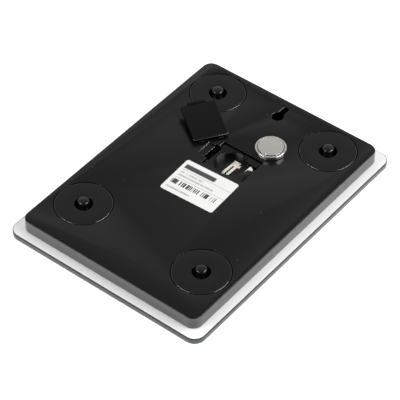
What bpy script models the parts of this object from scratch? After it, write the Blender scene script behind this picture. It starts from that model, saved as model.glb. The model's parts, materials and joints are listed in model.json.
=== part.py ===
"""Slim glass kitchen scale lying face down, with its battery door off and its cell out.

The glass weighing face rests on the table at z = 0 and the black underside looks up.
X runs across the short side, Y along the long side towards the hanging keyhole.
The display end is at -Y. All sizes are in metres.
"""
import math

import bmesh
import bpy
from mathutils import Matrix, Vector

MM = 0.001

# ---------------------------------------------------------------- driving dimensions
GAP = 0.3 * MM                    # clearance between pieces that rest on each other
FILM_GAP = 0.1 * MM               # clearance under a glued film
OVERCUT = 1.0 * MM                # how far a cutter runs on past the face it opens

# base housing
BASE_WIDTH = 136.0 * MM
BASE_LENGTH = 186.0 * MM
BASE_HEIGHT = 9.0 * MM
BASE_CORNER_RADIUS = 6.6 * MM
BASE_EDGE_RADIUS = 0.5 * MM
WALL = 2.0 * MM
PANEL = 2.0 * MM
RIB = 1.2 * MM
RIB_DEPTH = 2.6 * MM
CENTRE_RIB_X = 11.0 * MM

# glass platform and its bonding tape
GLASS_THICKNESS = 4.2 * MM
GLASS_BORDER = 6.0 * MM
GLASS_CORNER_RADIUS = 7.6 * MM
GLASS_SEAM = 0.4 * MM
TAPE_WIDTH = 4.4 * MM
TAPE_THICKNESS = 0.6 * MM

# feet
DISC_RADIUS = 18.1 * MM
DISPLAY_FEET_SIDE = 3.9 * MM      # from the edge of a disc to the side of the base
DISPLAY_FEET_END = 15.4 * MM      # from the edge of a disc to the display end
KEYHOLE_FEET_SIDE = 5.9 * MM
KEYHOLE_FEET_END = 3.9 * MM       # from the edge of a disc to the keyhole end
DISC_GROOVE = 0.6 * MM
DISC_PLATE = 1.5 * MM
DISC_FLANGE = 1.0 * MM
FLANGE_LIP = 0.4 * MM             # flange wider than the opening in the panel
DISC_RIM = 1.2 * MM               # wall of the disc under its edge
HUB_RADIUS = 7.1 * MM
HUB_DROP = 0.7 * MM               # hub below the flange
HUB_FLOOR = 0.6 * MM
FOOT_RECESS_RADIUS = 5.8 * MM
FOOT_RECESS_DEPTH = 2.2 * MM
FOOT_DOME_RADIUS = 3.55 * MM
FOOT_STEM_RADIUS = 2.4 * MM
FOOT_FLANGE = 0.5 * MM
FOOT_CROWN = 1.1 * MM             # height of the domed tip
FOOT_HEIGHT = 3.4 * MM            # how far the rubber stands out of the disc
LOAD_CELL_MARGIN = 4.6 * MM       # from the side of a load cell to the edge of its disc
LOAD_CELL_THICKNESS = 1.5 * MM
LOAD_CELL_CORNER = 5.0 * MM
LOAD_CELL_SLOT = 1.6 * MM
TONGUE_HALF = 6.0 * MM
SLOT_ROOT = -8.0 * MM             # ends of the slot round the tongue
SLOT_TIP = 7.0 * MM
CARRIER_WINDOW = 16.0 * MM        # square opening under the load cell
CARRIER_STEP = 0.5 * MM           # load cell stands out of its carrier
SCREW_RADIUS = 0.9 * MM
SCREW_HEAD_RADIUS = 1.9 * MM
SCREW_HEAD = 0.9 * MM
SCREW_POINT = 0.8 * MM
BOSS_WALL = 1.2 * MM
EAR_WALL = 0.6 * MM

# battery compartment and door
CELL_RADIUS = 10.0 * MM
CELL_HEIGHT = 3.2 * MM
CELL_CAP_STEP = 1.7 * MM          # from the side of the can in to the side of the cap
CELL_SHEET = 0.4 * MM
CELL_CLEARANCE = 0.6 * MM         # round the cell, so that it can turn over into its holder
CONTACT_ROOM = 1.5 * MM           # under the cell, for the forked contact
CONTACT_SHEET = 0.3 * MM
RECESS_END_ROOM = 10.8 * MM       # recess longer than the cell, along X
RECESS_SIDE_ROOM = 3.6 * MM       # recess wider than the cell, along Y
RECESS_CENTRE_X = 3.2 * MM
RECESS_CENTRE_Y = 25.7 * MM
RECESS_CORNER_RADIUS = 0.8 * MM
HOLDER_OFFSET = -1.4 * MM         # holder centre from the recess centre, along X
TUB_WALL = 1.3 * MM
DOOR_THICKNESS = 1.2 * MM
LATCH_WIDTH = 12.2 * MM
LATCH_DEPTH = 4.4 * MM
LATCH_SHEET = 1.0 * MM
LATCH_OPENING = 1.2 * MM
SCOOP_LENGTH = 4.4 * MM
SCOOP_WIDTH = 11.6 * MM
SCOOP_DEPTH = 1.6 * MM
TAB_WIDTH = 4.0 * MM
TAB_REACH = 1.3 * MM
TAB_THICKNESS = 0.9 * MM
TAB_SPREAD = 6.4 * MM             # each tab's centre from the middle of the door

# battery contacts
FORK_WIDTH = 4.8 * MM
FORK_SLOT = 1.2 * MM
FORK_OFFSET = (0.5 * MM, -0.5 * MM)   # from the middle of the holder
FORK_LUG = 1.6 * MM
SIDE_CONTACT_GAP = 0.9 * MM       # from the bore of the holder
SIDE_CONTACT_LOW = -0.5 * MM      # ends of the leaf along Y, from the middle of the holder
SIDE_CONTACT_HIGH = 5.6 * MM
SIDE_FLAG_LOW = 1.9 * MM
SIDE_FLAG_REACH = 3.4 * MM

# how the loose pieces lie on the underside
CELL_PLACE = (15.3 * MM, 49.3 * MM)
DOOR_PLACE = (-31.9 * MM, 41.7 * MM)
DOOR_TURN = math.radians(-34.0)
DOOR_TILT = math.radians(4.6)

# keyhole for hanging
KEYHOLE_INSET = 16.0 * MM         # centre of the round part from the end of the base
KEYHOLE_RADIUS = 4.0 * MM
KEYHOLE_SLOT_WIDTH = 4.0 * MM
KEYHOLE_SLOT_LENGTH = 8.6 * MM
KEYHOLE_BOX_DEPTH = 4.4 * MM

# rating label
LABEL_WIDTH = 39.4 * MM
LABEL_HEIGHT = 29.8 * MM
LABEL_CORNER_RADIUS = 1.6 * MM
LABEL_THICKNESS = 0.2 * MM
LABEL_CENTRE = (0.2 * MM, -3.7 * MM)
LABEL_TURN = math.radians(2.6)

# electronics
BOARD_WIDTH = 57.0 * MM
BOARD_DEPTH = 17.6 * MM
BOARD_THICKNESS = 1.0 * MM
BOARD_INSET = 1.5 * MM            # from the inside of the display-end wall
BOARD_CORNER_RADIUS = 1.0 * MM
DISPLAY_WIDTH = 38.0 * MM
DISPLAY_DEPTH = 15.0 * MM
DISPLAY_THICKNESS = 2.0 * MM
DISPLAY_FRAME_WALL = 1.0 * MM
CONNECTOR_THICKNESS = 1.4 * MM
CONNECTOR_WIDTH = 1.8 * MM
KEY_SPRING_RADIUS = 2.6 * MM
KEY_SPRING_WIRE = 0.3 * MM
KEY_SPRING_TURNS = 3
KEY_SPRING_X = 24.6 * MM
BOARD_SCREW_X = 24.6 * MM
WIRE_RADIUS = 0.45 * MM
POTTING_RADIUS = 4.0 * MM
POTTING_HEIGHT = 1.2 * MM
POTTING_X = -8.0 * MM
CRYSTAL_SIZE = (6.0 * MM, 3.0 * MM, 1.4 * MM)
CRYSTAL_X = 5.0 * MM
BATTERY_LEAD_X = 5.0 * MM         # each battery lead from the middle of the holder

FINE = 36                         # sides of the large round pieces
COARSE = 18                       # sides of the small round pieces
SMALL = 10                        # sides of the screws

# ---------------------------------------------------------------- derived levels
GLASS_BACK = GLASS_THICKNESS
BASE_RIM = GLASS_BACK + GAP
UNDERSIDE = BASE_RIM + BASE_HEIGHT
PANEL_INNER = UNDERSIDE - PANEL
TAPE_BOTTOM = GLASS_BACK + GAP
TAPE_TOP = TAPE_BOTTOM + TAPE_THICKNESS
BOND_LEVEL = TAPE_TOP + GAP       # where the ribs end above the tape

DISPLAY_FEET_X = BASE_WIDTH / 2 - DISC_RADIUS - DISPLAY_FEET_SIDE
DISPLAY_FEET_Y = -BASE_LENGTH / 2 + DISC_RADIUS + DISPLAY_FEET_END
KEYHOLE_FEET_X = BASE_WIDTH / 2 - DISC_RADIUS - KEYHOLE_FEET_SIDE
KEYHOLE_FEET_Y = BASE_LENGTH / 2 - DISC_RADIUS - KEYHOLE_FEET_END
LOAD_CELL_SIZE = 2 * (DISC_RADIUS - LOAD_CELL_MARGIN)

APERTURE_RADIUS = DISC_RADIUS + DISC_GROOVE
FLANGE_RADIUS = APERTURE_RADIUS + FLANGE_LIP
SOCKET_RADIUS = FLANGE_RADIUS + GAP
FLANGE_TOP = PANEL_INNER - GAP
FLANGE_BOTTOM = FLANGE_TOP - DISC_FLANGE
HUB_BOTTOM = FLANGE_BOTTOM - HUB_DROP
BORE_FLOOR = HUB_BOTTOM + HUB_FLOOR
LOAD_CELL_TOP = HUB_BOTTOM - GAP
LOAD_CELL_BOTTOM = LOAD_CELL_TOP - LOAD_CELL_THICKNESS
CARRIER_SEAT = LOAD_CELL_BOTTOM - GAP
CARRIER_BOTTOM = GLASS_BACK + GAP
EAR_TOP = CARRIER_SEAT - EAR_WALL
EAR_BOTTOM = CARRIER_BOTTOM + SCREW_HEAD + GAP
SOCKET_BOTTOM = EAR_TOP + GAP
LEAD_LEVEL = SOCKET_BOTTOM - GAP - WIRE_RADIUS
EAR_REACH = SOCKET_RADIUS + RIB + SCREW_HEAD_RADIUS + GAP
EAR_RADIUS = SCREW_HEAD_RADIUS + EAR_WALL
BOSS_RADIUS = SCREW_RADIUS + BOSS_WALL

CELL_CAP_RADIUS = CELL_RADIUS - CELL_CAP_STEP
RECESS_LENGTH = 2 * CELL_RADIUS + RECESS_END_ROOM
RECESS_WIDTH = 2 * CELL_RADIUS + RECESS_SIDE_ROOM
RECESS_DEPTH = DOOR_THICKNESS + GAP
LEDGE = UNDERSIDE - RECESS_DEPTH
RECESS_LEFT = RECESS_CENTRE_X - RECESS_LENGTH / 2
RECESS_RIGHT = RECESS_CENTRE_X + RECESS_LENGTH / 2
HOLDER_X = RECESS_CENTRE_X + HOLDER_OFFSET
HOLDER_Y = RECESS_CENTRE_Y
HOLDER_RADIUS = CELL_RADIUS + CELL_CLEARANCE
CELL_SEAT = LEDGE - GAP - CELL_HEIGHT
HOLDER_FLOOR = CELL_SEAT - CONTACT_ROOM
SIDE_CONTACT_X = HOLDER_X + HOLDER_RADIUS + SIDE_CONTACT_GAP
LATCH_OUT = LATCH_OPENING + LATCH_SHEET
WELL_LEFT = RECESS_LEFT - LATCH_OUT - 0.8 * MM
WELL_RIGHT = RECESS_LEFT + LATCH_SHEET + 2 * GAP
WELL_WIDTH = LATCH_WIDTH + 4 * GAP
WELL_FLOOR = UNDERSIDE - LATCH_DEPTH - 2 * GAP
TAB_TOP = -DOOR_THICKNESS - GAP   # from the door's outer face
CATCH_BOTTOM = UNDERSIDE + TAB_TOP + GAP

KEYHOLE_Y = BASE_LENGTH / 2 - KEYHOLE_INSET
CELL_CENTRE_Z = UNDERSIDE + GAP + CELL_HEIGHT / 2
CELL_SEATED_Z = CELL_SEAT + CELL_HEIGHT / 2

BOARD_Y = -BASE_LENGTH / 2 + WALL + BOARD_INSET + BOARD_DEPTH / 2
DISPLAY_BOTTOM = GLASS_BACK + GAP
DISPLAY_TOP = DISPLAY_BOTTOM + DISPLAY_THICKNESS
CONNECTOR_BOTTOM = DISPLAY_TOP + FILM_GAP
CONNECTOR_TOP = CONNECTOR_BOTTOM + CONNECTOR_THICKNESS
BOARD_BOTTOM = CONNECTOR_TOP + FILM_GAP
BOARD_TOP = BOARD_BOTTOM + BOARD_THICKNESS
KEY_SPRING_Y = BOARD_Y - BOARD_DEPTH / 2 + KEY_SPRING_RADIUS + 2 * KEY_SPRING_WIRE
WIRE_LEVEL = PANEL_INNER - GAP - WIRE_RADIUS


# ---------------------------------------------------------------- mesh helpers
def material(name, colour, roughness, metallic=0.0):
    """A plain Principled material."""
    made = bpy.data.materials.new(name)
    made.use_nodes = True
    shader = made.node_tree.nodes["Principled BSDF"]
    shader.inputs["Base Color"].default_value = (*colour, 1.0)
    shader.inputs["Roughness"].default_value = roughness
    shader.inputs["Metallic"].default_value = metallic
    made.diffuse_color = (*colour, 1.0)
    return made


def finish(name, mesh_builder, look, smooth=False):
    """Turn a bmesh into a linked object with outward faces."""
    bmesh.ops.recalc_face_normals(mesh_builder, faces=mesh_builder.faces)
    mesh = bpy.data.meshes.new(name)
    mesh_builder.to_mesh(mesh)
    mesh_builder.free()
    if look is not None:
        mesh.materials.append(look)
    if smooth:
        mesh.shade_smooth()
        mesh.set_sharp_from_angle(angle=math.radians(35))
    made = bpy.data.objects.new(name, mesh)
    bpy.context.scene.collection.objects.link(made)
    return made


def rounded_outline(width, length, radius, steps=6, centre=(0.0, 0.0)):
    """Points of a rectangle with round corners, counter-clockwise."""
    points = []
    corners = ((1, 1), (-1, 1), (-1, -1), (1, -1))
    for index, (side_x, side_y) in enumerate(corners):
        corner_x = centre[0] + side_x * (width / 2 - radius)
        corner_y = centre[1] + side_y * (length / 2 - radius)
        for step in range(steps + 1):
            angle = math.pi / 2 * (index + step / steps)
            points.append((corner_x + radius * math.cos(angle), corner_y + radius * math.sin(angle)))
    return points


def circle(radius, sides, centre=(0.0, 0.0)):
    """Points of a circle, counter-clockwise."""
    turns = [2 * math.pi * side / sides for side in range(sides)]
    return [(centre[0] + radius * math.cos(turn), centre[1] + radius * math.sin(turn)) for turn in turns]


def add_loft(builder, rings):
    """Skin a stack of equal rings of points and cap both ends."""
    rows = [[builder.verts.new(point) for point in ring] for ring in rings]
    count = len(rows[0])
    for lower, upper in zip(rows, rows[1:]):
        for side in range(count):
            after = (side + 1) % count
            builder.faces.new((lower[side], lower[after], upper[after], upper[side]))
    builder.faces.new(list(reversed(rows[0])))
    builder.faces.new(rows[-1])


def add_prism(builder, outline, bottom, top):
    """A straight prism over a flat outline."""
    add_loft(builder, [[(x, y, level) for x, y in outline] for level in (bottom, top)])


def add_box(builder, low, high):
    """A box between two corners."""
    outline = [(low[0], low[1]), (high[0], low[1]), (high[0], high[1]), (low[0], high[1])]
    add_prism(builder, outline, low[2], high[2])


def add_lathe(builder, profile, sides, centre=(0.0, 0.0)):
    """Turn a profile of (radius, z) points round a vertical axis; a zero radius is a pole."""
    rows = []
    for radius, level in profile:
        if radius == 0.0:
            rows.append([builder.verts.new((centre[0], centre[1], level))])
        else:
            rows.append([builder.verts.new((x, y, level)) for x, y in circle(radius, sides, centre)])
    closed = len(rows[0]) > 1
    pairs = list(zip(rows, rows[1:]))
    if closed:
        pairs.append((rows[-1], rows[0]))
    for first, second in pairs:
        for side in range(sides):
            after = (side + 1) % sides
            corners = [first[side % len(first)], first[after % len(first)]]
            corners += [second[after % len(second)], second[side % len(second)]]
            unique = list(dict.fromkeys(corners))
            if len(unique) > 2:
                builder.faces.new(unique)


def prism(name, outline, bottom, top, look=None):
    """An object that is one prism."""
    builder = bmesh.new()
    add_prism(builder, outline, bottom, top)
    return finish(name, builder, look)


def box(name, low, high, look=None):
    """An object that is one box between two corners."""
    builder = bmesh.new()
    add_box(builder, low, high)
    return finish(name, builder, look)


def lathe(name, profile, sides, look=None, centre=(0.0, 0.0)):
    """An object that is one turned body."""
    builder = bmesh.new()
    add_lathe(builder, profile, sides, centre)
    return finish(name, builder, look, smooth=True)


def sheet(name, path, thickness, width, look):
    """A bent strip: a path of (along, up) points, thickened and drawn out sideways about zero."""
    builder = bmesh.new()
    outline = []
    for direction in (1, -1):
        count = len(path)
        order = range(count) if direction == 1 else range(count - 1, -1, -1)
        for index in order:
            before = Vector(path[max(index - 1, 0)])
            here = Vector(path[index])
            after = Vector(path[min(index + 1, count - 1)])
            into = (here - before).normalized() if index > 0 else (after - here).normalized()
            out = (after - here).normalized() if index < count - 1 else into
            middle = (into + out).normalized()
            normal = Vector((-middle.y, middle.x))
            stretch = thickness / 2 / max(normal.dot(Vector((-into.y, into.x))), 0.5)
            spot = here + normal * stretch * direction
            outline.append((spot.x, spot.y))
    rings = [[(along, side * width / 2, up) for along, up in outline] for side in (-1, 1)]
    add_loft(builder, rings)
    return finish(name, builder, look)


def combine(target, tools, operation):
    """Apply one exact Boolean with each tool and discard the tools."""
    for tool in tools:
        change = target.modifiers.new(operation.lower(), "BOOLEAN")
        change.operation = operation
        change.solver = "EXACT"
        change.object = tool
        bpy.context.view_layer.update()
        graph = bpy.context.evaluated_depsgraph_get()
        baked = bpy.data.meshes.new_from_object(target.evaluated_get(graph))
        target.modifiers.clear()
        old = target.data
        target.data = baked
        baked.name = target.name
        bpy.data.meshes.remove(old)
        bpy.data.objects.remove(tool, do_unlink=True)
    return target


def place(made, matrix):
    """Move an object's mesh by a matrix, leaving its origin where it is."""
    made.data.transform(matrix)
    made.data.update()
    return made


def set_origin(made, spot):
    """Put an object's origin on a spot without moving its mesh in the world."""
    made.data.transform(Matrix.Translation(-Vector(spot)))
    made.location = spot
    return made


def tube(name, points, radius, look, sides_setting=1):
    """A round wire along a list of points."""
    curve = bpy.data.curves.new(name, "CURVE")
    curve.dimensions = "3D"
    curve.bevel_depth = radius
    curve.bevel_resolution = sides_setting
    curve.use_fill_caps = True
    spline = curve.splines.new("POLY")
    spline.points.add(len(points) - 1)
    for slot, point in zip(spline.points, points):
        slot.co = (*point, 1.0)
    curve.materials.append(look)
    made = bpy.data.objects.new(name, curve)
    bpy.context.scene.collection.objects.link(made)
    return made


def smooth_route(corners, radius, steps=4):
    """A route through corners, each rounded off with a quadratic arc."""
    points = [Vector(corners[0])]
    for before, here, after in zip(corners, corners[1:], corners[2:]):
        here = Vector(here)
        into = Vector(before) - here
        out = Vector(after) - here
        start = here + into.normalized() * min(radius, into.length / 2.2)
        end = here + out.normalized() * min(radius, out.length / 2.2)
        for step in range(steps + 1):
            share = step / steps
            spot = start * (1 - share) ** 2 + here * 2 * share * (1 - share) + end * share ** 2
            points.append(spot)
    points.append(Vector(corners[-1]))
    return points


# ---------------------------------------------------------------- places of the feet
def foot_places():
    """Name, centre and the side (+1 or -1 along Y) that faces the middle of the scale."""
    return (
        ("display_left", -DISPLAY_FEET_X, DISPLAY_FEET_Y, 1),
        ("display_right", DISPLAY_FEET_X, DISPLAY_FEET_Y, 1),
        ("keyhole_left", -KEYHOLE_FEET_X, KEYHOLE_FEET_Y, -1),
        ("keyhole_right", KEYHOLE_FEET_X, KEYHOLE_FEET_Y, -1),
    )


def ear_places(inward):
    """Screw places round a foot, both on the side that faces the middle."""
    reach = EAR_REACH * math.sqrt(0.5)
    return ((-reach, inward * reach), (reach, inward * reach))


# ---------------------------------------------------------------- base housing
def housing_shell():
    """The open tray: outer body with a small round on its upper edge, less its inside."""
    builder = bmesh.new()
    rings = []
    for level, inset in (
        (BASE_RIM, 0.0),
        (UNDERSIDE - BASE_EDGE_RADIUS, 0.0),
        (UNDERSIDE - BASE_EDGE_RADIUS * 0.3, BASE_EDGE_RADIUS * 0.3),
        (UNDERSIDE, BASE_EDGE_RADIUS),
    ):
        outline = rounded_outline(
            BASE_WIDTH - 2 * inset, BASE_LENGTH - 2 * inset, BASE_CORNER_RADIUS - inset, 8
        )
        rings.append([(x, y, level) for x, y in outline])
    add_loft(builder, rings)
    body = finish("base_housing", builder, LOOKS["black_plastic"])
    inside = rounded_outline(
        BASE_WIDTH - 2 * WALL, BASE_LENGTH - 2 * WALL, BASE_CORNER_RADIUS - WALL, 8
    )
    hollow = prism("hollow", inside, BASE_RIM - OVERCUT, PANEL_INNER)
    return combine(body, [hollow], "DIFFERENCE")


def housing_ribs():
    """Bonding rib round the inside and stiffening ribs under the panel."""
    added = []
    outer = BASE_WIDTH - 2 * WALL + 2 * GAP
    ring = rounded_outline(outer, BASE_LENGTH - 2 * WALL + 2 * GAP, BASE_CORNER_RADIUS - WALL, 4)
    shelf = prism("shelf", ring, PANEL_INNER - RIB_DEPTH / 2, PANEL_INNER + GAP)
    inner = rounded_outline(
        BASE_WIDTH - 4 * WALL, BASE_LENGTH - 4 * WALL, BASE_CORNER_RADIUS - 2 * WALL, 4
    )
    core = prism("core", inner, PANEL_INNER - RIB_DEPTH, PANEL_INNER + OVERCUT)
    added.append(combine(shelf, [core], "DIFFERENCE"))
    low = PANEL_INNER - RIB_DEPTH
    high = PANEL_INNER + GAP
    display_y = DISPLAY_FEET_Y + SOCKET_RADIUS
    keyhole_y = KEYHOLE_FEET_Y - SOCKET_RADIUS
    spine_x = DISPLAY_FEET_X - SOCKET_RADIUS - RIB
    tub_edge = RECESS_CENTRE_Y - RECESS_WIDTH / 2 - TUB_WALL - 1 * MM
    board_edge = BOARD_Y + BOARD_DEPTH / 2 + 4 * MM
    half = RIB / 2
    for side in (-1, 1):
        spine = side * spine_x
        added.append(box("spine", (spine - half, display_y - 2 * MM, low), (spine + half, keyhole_y, high)))
        edge = side * (BASE_WIDTH / 2 - WALL + GAP)
        left, right = sorted((spine, edge))
        for share in (0.2, 0.5, 0.8):
            across = display_y + share * (keyhole_y - display_y)
            added.append(box("rib", (left, across - half, low + GAP), (right, across + half, high)))
        short = side * CENTRE_RIB_X
        added.append(box("centre_rib", (short - half, board_edge, low), (short + half, tub_edge, high)))
    return added


def bonding_strips():
    """Name and the two corners of each tape strip, all just inside the walls."""
    out_x = BASE_WIDTH / 2 - WALL - GAP
    out_y = BASE_LENGTH / 2 - WALL - GAP
    reach = SOCKET_RADIUS + RIB
    low_y = DISPLAY_FEET_Y + reach
    high_y = KEYHOLE_FEET_Y - reach
    side_x = out_x - TAPE_WIDTH
    end_x = KEYHOLE_FEET_X - reach
    far_x = BASE_WIDTH / 2 - BASE_CORNER_RADIUS
    near_x = BOARD_WIDTH / 2 + 1.5 * MM
    return (
        ("left", (-out_x, low_y), (-side_x, high_y)),
        ("right", (side_x, low_y), (out_x, high_y)),
        ("keyhole_end", (-end_x, out_y - TAPE_WIDTH), (end_x, out_y)),
        ("display_left", (-far_x, -out_y), (-near_x, TAPE_WIDTH - out_y)),
        ("display_right", (near_x, -out_y), (far_x, TAPE_WIDTH - out_y)),
    )


def bonding_posts():
    """Short walls above each tape strip, from the wall across the strip."""
    added = []
    half = RIB / 2
    top = PANEL_INNER + GAP
    grow = 2 * GAP
    for name, low, high in bonding_strips():
        along_y = high[1] - low[1] > high[0] - low[0]
        for share in (0.15, 0.5, 0.85):
            if along_y:
                middle = low[1] + share * (high[1] - low[1])
                side = 1 if low[0] > 0 else -1
                near, far = sorted((side * (abs(low[0] + high[0]) / 2 - TAPE_WIDTH / 2),
                                    side * (BASE_WIDTH / 2 - WALL + grow)))
                corners = (near, middle - half, BOND_LEVEL), (far, middle + half, top)
            else:
                middle = low[0] + share * (high[0] - low[0])
                side = 1 if low[1] > 0 else -1
                near, far = sorted((side * (abs(low[1] + high[1]) / 2 - TAPE_WIDTH / 2),
                                    side * (BASE_LENGTH / 2 - WALL + grow)))
                corners = (middle - half, near, BOND_LEVEL), (middle + half, far, top)
            added.append(box("post", *corners))
    return added


def housing_additions():
    """Everything that stands on the inside of the panel."""
    added = housing_ribs() + bonding_posts()
    top = PANEL_INNER + GAP
    for name, x, y, inward in foot_places():
        outline = circle(SOCKET_RADIUS + RIB, FINE, (x, y))
        socket = prism("socket_" + name, outline, SOCKET_BOTTOM, top)
        trim = rounded_outline(
            BASE_WIDTH - WALL, BASE_LENGTH - WALL, BASE_CORNER_RADIUS - WALL / 2, 4
        )
        added.append(combine(socket, [prism("trim", trim, BASE_RIM, UNDERSIDE)], "INTERSECT"))
        for ear_x, ear_y in ear_places(inward):
            outline = circle(BOSS_RADIUS, SMALL, (x + ear_x, y + ear_y))
            added.append(prism("boss", outline, SOCKET_BOTTOM, top))
    for side in (-1, 1):
        outline = circle(BOSS_RADIUS, SMALL, (side * BOARD_SCREW_X, BOARD_Y))
        added.append(prism("board_boss", outline, BOARD_TOP + FILM_GAP, top))
    tub = rounded_outline(
        RECESS_LENGTH + 2 * TUB_WALL, RECESS_WIDTH + 2 * TUB_WALL, RECESS_CORNER_RADIUS, 2,
        (RECESS_CENTRE_X, RECESS_CENTRE_Y),
    )
    added.append(prism("tub", tub, LEDGE - TUB_WALL, top))
    holder = circle(HOLDER_RADIUS + TUB_WALL, FINE, (HOLDER_X, HOLDER_Y))
    added.append(prism("holder", holder, HOLDER_FLOOR - TUB_WALL, LEDGE - TUB_WALL / 2))
    half = WELL_WIDTH / 2 + TUB_WALL
    low = (WELL_LEFT - TUB_WALL, RECESS_CENTRE_Y - half, WELL_FLOOR - TUB_WALL)
    added.append(box("well_box", low, (WELL_RIGHT + TUB_WALL, RECESS_CENTRE_Y + half, top)))
    half = SCOOP_WIDTH / 2 + TUB_WALL
    scoop_left = WELL_LEFT - SCOOP_LENGTH - TUB_WALL / 2
    low = (scoop_left, RECESS_CENTRE_Y - half, UNDERSIDE - SCOOP_DEPTH - TUB_WALL)
    added.append(box("scoop_box", low, (WELL_LEFT, RECESS_CENTRE_Y + half, top)))
    half = KEYHOLE_RADIUS + GAP + TUB_WALL
    low = (-half, KEYHOLE_Y - half, PANEL_INNER - KEYHOLE_BOX_DEPTH - TUB_WALL)
    slot_end = KEYHOLE_Y + KEYHOLE_SLOT_LENGTH + KEYHOLE_SLOT_WIDTH / 2
    added.append(box("keyhole_box", low, (half, slot_end + GAP + TUB_WALL, top)))
    return added


def housing_cuts():
    """Openings and pockets in the panel and in what stands on it."""
    cuts = []
    above = UNDERSIDE + OVERCUT
    for name, x, y, inward in foot_places():
        cuts.append(prism("aperture", circle(APERTURE_RADIUS, FINE, (x, y)), PANEL_INNER - OVERCUT, above))
        inside = circle(SOCKET_RADIUS, FINE, (x, y))
        cuts.append(prism("socket_bore", inside, BASE_RIM - OVERCUT, PANEL_INNER))
        for ear_x, ear_y in ear_places(inward):
            outline = circle(SCREW_RADIUS + GAP, SMALL, (x + ear_x, y + ear_y))
            cuts.append(prism("pilot", outline, SOCKET_BOTTOM - OVERCUT, PANEL_INNER - 0.3 * MM))
    for side in (-1, 1):
        outline = circle(SCREW_RADIUS + GAP, SMALL, (side * BOARD_SCREW_X, BOARD_Y))
        cuts.append(prism("board_pilot", outline, BOARD_TOP - OVERCUT, PANEL_INNER + 0.9 * MM))
    recess = rounded_outline(
        RECESS_LENGTH, RECESS_WIDTH, RECESS_CORNER_RADIUS, 2, (RECESS_CENTRE_X, RECESS_CENTRE_Y)
    )
    cuts.append(prism("recess", recess, LEDGE, above))
    holder = circle(HOLDER_RADIUS, FINE, (HOLDER_X, HOLDER_Y))
    cuts.append(prism("holder_bore", holder, HOLDER_FLOOR, above))
    half = WELL_WIDTH / 2
    low = (WELL_LEFT, RECESS_CENTRE_Y - half, WELL_FLOOR)
    cuts.append(box("well", low, (WELL_RIGHT, RECESS_CENTRE_Y + half, above)))
    cuts.append(scoop_cutter())
    for side in (-1, 1):
        middle = RECESS_CENTRE_Y + side * TAB_SPREAD
        half = TAB_WIDTH / 2 + GAP
        low = (RECESS_RIGHT - 1.4 * MM, middle - half, LEDGE - TUB_WALL - OVERCUT)
        cuts.append(box("tab_slot", low, (RECESS_RIGHT + TAB_REACH, middle + half, CATCH_BOTTOM)))
    cuts.extend(contact_cuts())
    cuts.extend(keyhole_cuts())
    return cuts


def scoop_cutter():
    """A finger ramp that runs down towards the latch."""
    builder = bmesh.new()
    shallow = UNDERSIDE - 0.5 * MM
    deep = UNDERSIDE - SCOOP_DEPTH
    far = WELL_LEFT - SCOOP_LENGTH
    near = WELL_LEFT + 0.1 * MM
    above = UNDERSIDE + OVERCUT
    side_view = ((far, shallow), (near, deep), (near, above), (far, above))
    rings = []
    for side in (-1, 1):
        across = RECESS_CENTRE_Y + side * SCOOP_WIDTH / 2
        rings.append([(x, across, z) for x, z in side_view])
    add_loft(builder, rings)
    return finish("scoop", builder, None)


def contact_cuts():
    """Room for the side contact beside the holder and for the root of the forked one."""
    low_y = HOLDER_Y + SIDE_CONTACT_LOW - GAP
    high_y = HOLDER_Y + SIDE_CONTACT_HIGH + GAP
    low = (SIDE_CONTACT_X - SIDE_CONTACT_GAP - OVERCUT, low_y, HOLDER_FLOOR)
    side_slot = box("side_slot", low, (SIDE_CONTACT_X + 2 * GAP, high_y, UNDERSIDE))
    low = (SIDE_CONTACT_X - GAP, HOLDER_Y + SIDE_FLAG_LOW - GAP, LEDGE - 3 * GAP)
    high = (SIDE_CONTACT_X + SIDE_FLAG_REACH + GAP, high_y, UNDERSIDE)
    return [side_slot, box("flag_pit", low, high)]


def keyhole_cuts():
    """Round hole with a slot, and the dark box behind that takes the screw head."""
    above = UNDERSIDE + OVERCUT
    low = PANEL_INNER - KEYHOLE_BOX_DEPTH
    round_part = prism("keyhole_round", circle(KEYHOLE_RADIUS, COARSE, (0.0, KEYHOLE_Y)), low + GAP, above)
    steps = 8
    half = KEYHOLE_SLOT_WIDTH / 2
    tip = KEYHOLE_Y + KEYHOLE_SLOT_LENGTH
    outline = [(-half, KEYHOLE_Y), (half, KEYHOLE_Y)]
    for step in range(steps + 1):
        angle = math.pi * step / steps
        outline.append((half * math.cos(angle), tip + half * math.sin(angle)))
    slot = prism("keyhole_slot", outline, PANEL_INNER - OVERCUT, above)
    room = KEYHOLE_RADIUS + GAP
    behind = box("keyhole_room", (-room, KEYHOLE_Y - room, low), (room, tip + half + GAP, PANEL_INNER))
    return [round_part, slot, behind]


def base_housing():
    """Black moulded tray with its sockets, compartment and keyhole."""
    body = housing_shell()
    combine(body, housing_additions(), "UNION")
    combine(body, housing_cuts(), "DIFFERENCE")
    return body


# ---------------------------------------------------------------- platform
def glass_platform():
    """Toughened glass plate with a seamed edge."""
    builder = bmesh.new()
    width = BASE_WIDTH + 2 * GLASS_BORDER
    length = BASE_LENGTH + 2 * GLASS_BORDER
    rings = []
    for level, inset in (
        (0.0, GLASS_SEAM),
        (GLASS_SEAM, 0.0),
        (GLASS_THICKNESS - GLASS_SEAM, 0.0),
        (GLASS_THICKNESS, GLASS_SEAM),
    ):
        outline = rounded_outline(width - 2 * inset, length - 2 * inset, GLASS_CORNER_RADIUS - inset, 10)
        rings.append([(x, y, level) for x, y in outline])
    add_loft(builder, rings)
    return finish("glass_platform", builder, LOOKS["glass"])


def bonding_tape():
    """Strips of double-sided tape that hold the glass to the housing."""
    for name, low, high in bonding_strips():
        box("bonding_tape_" + name, (*low, TAPE_BOTTOM), (*high, TAPE_TOP), LOOKS["tape"])


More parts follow.
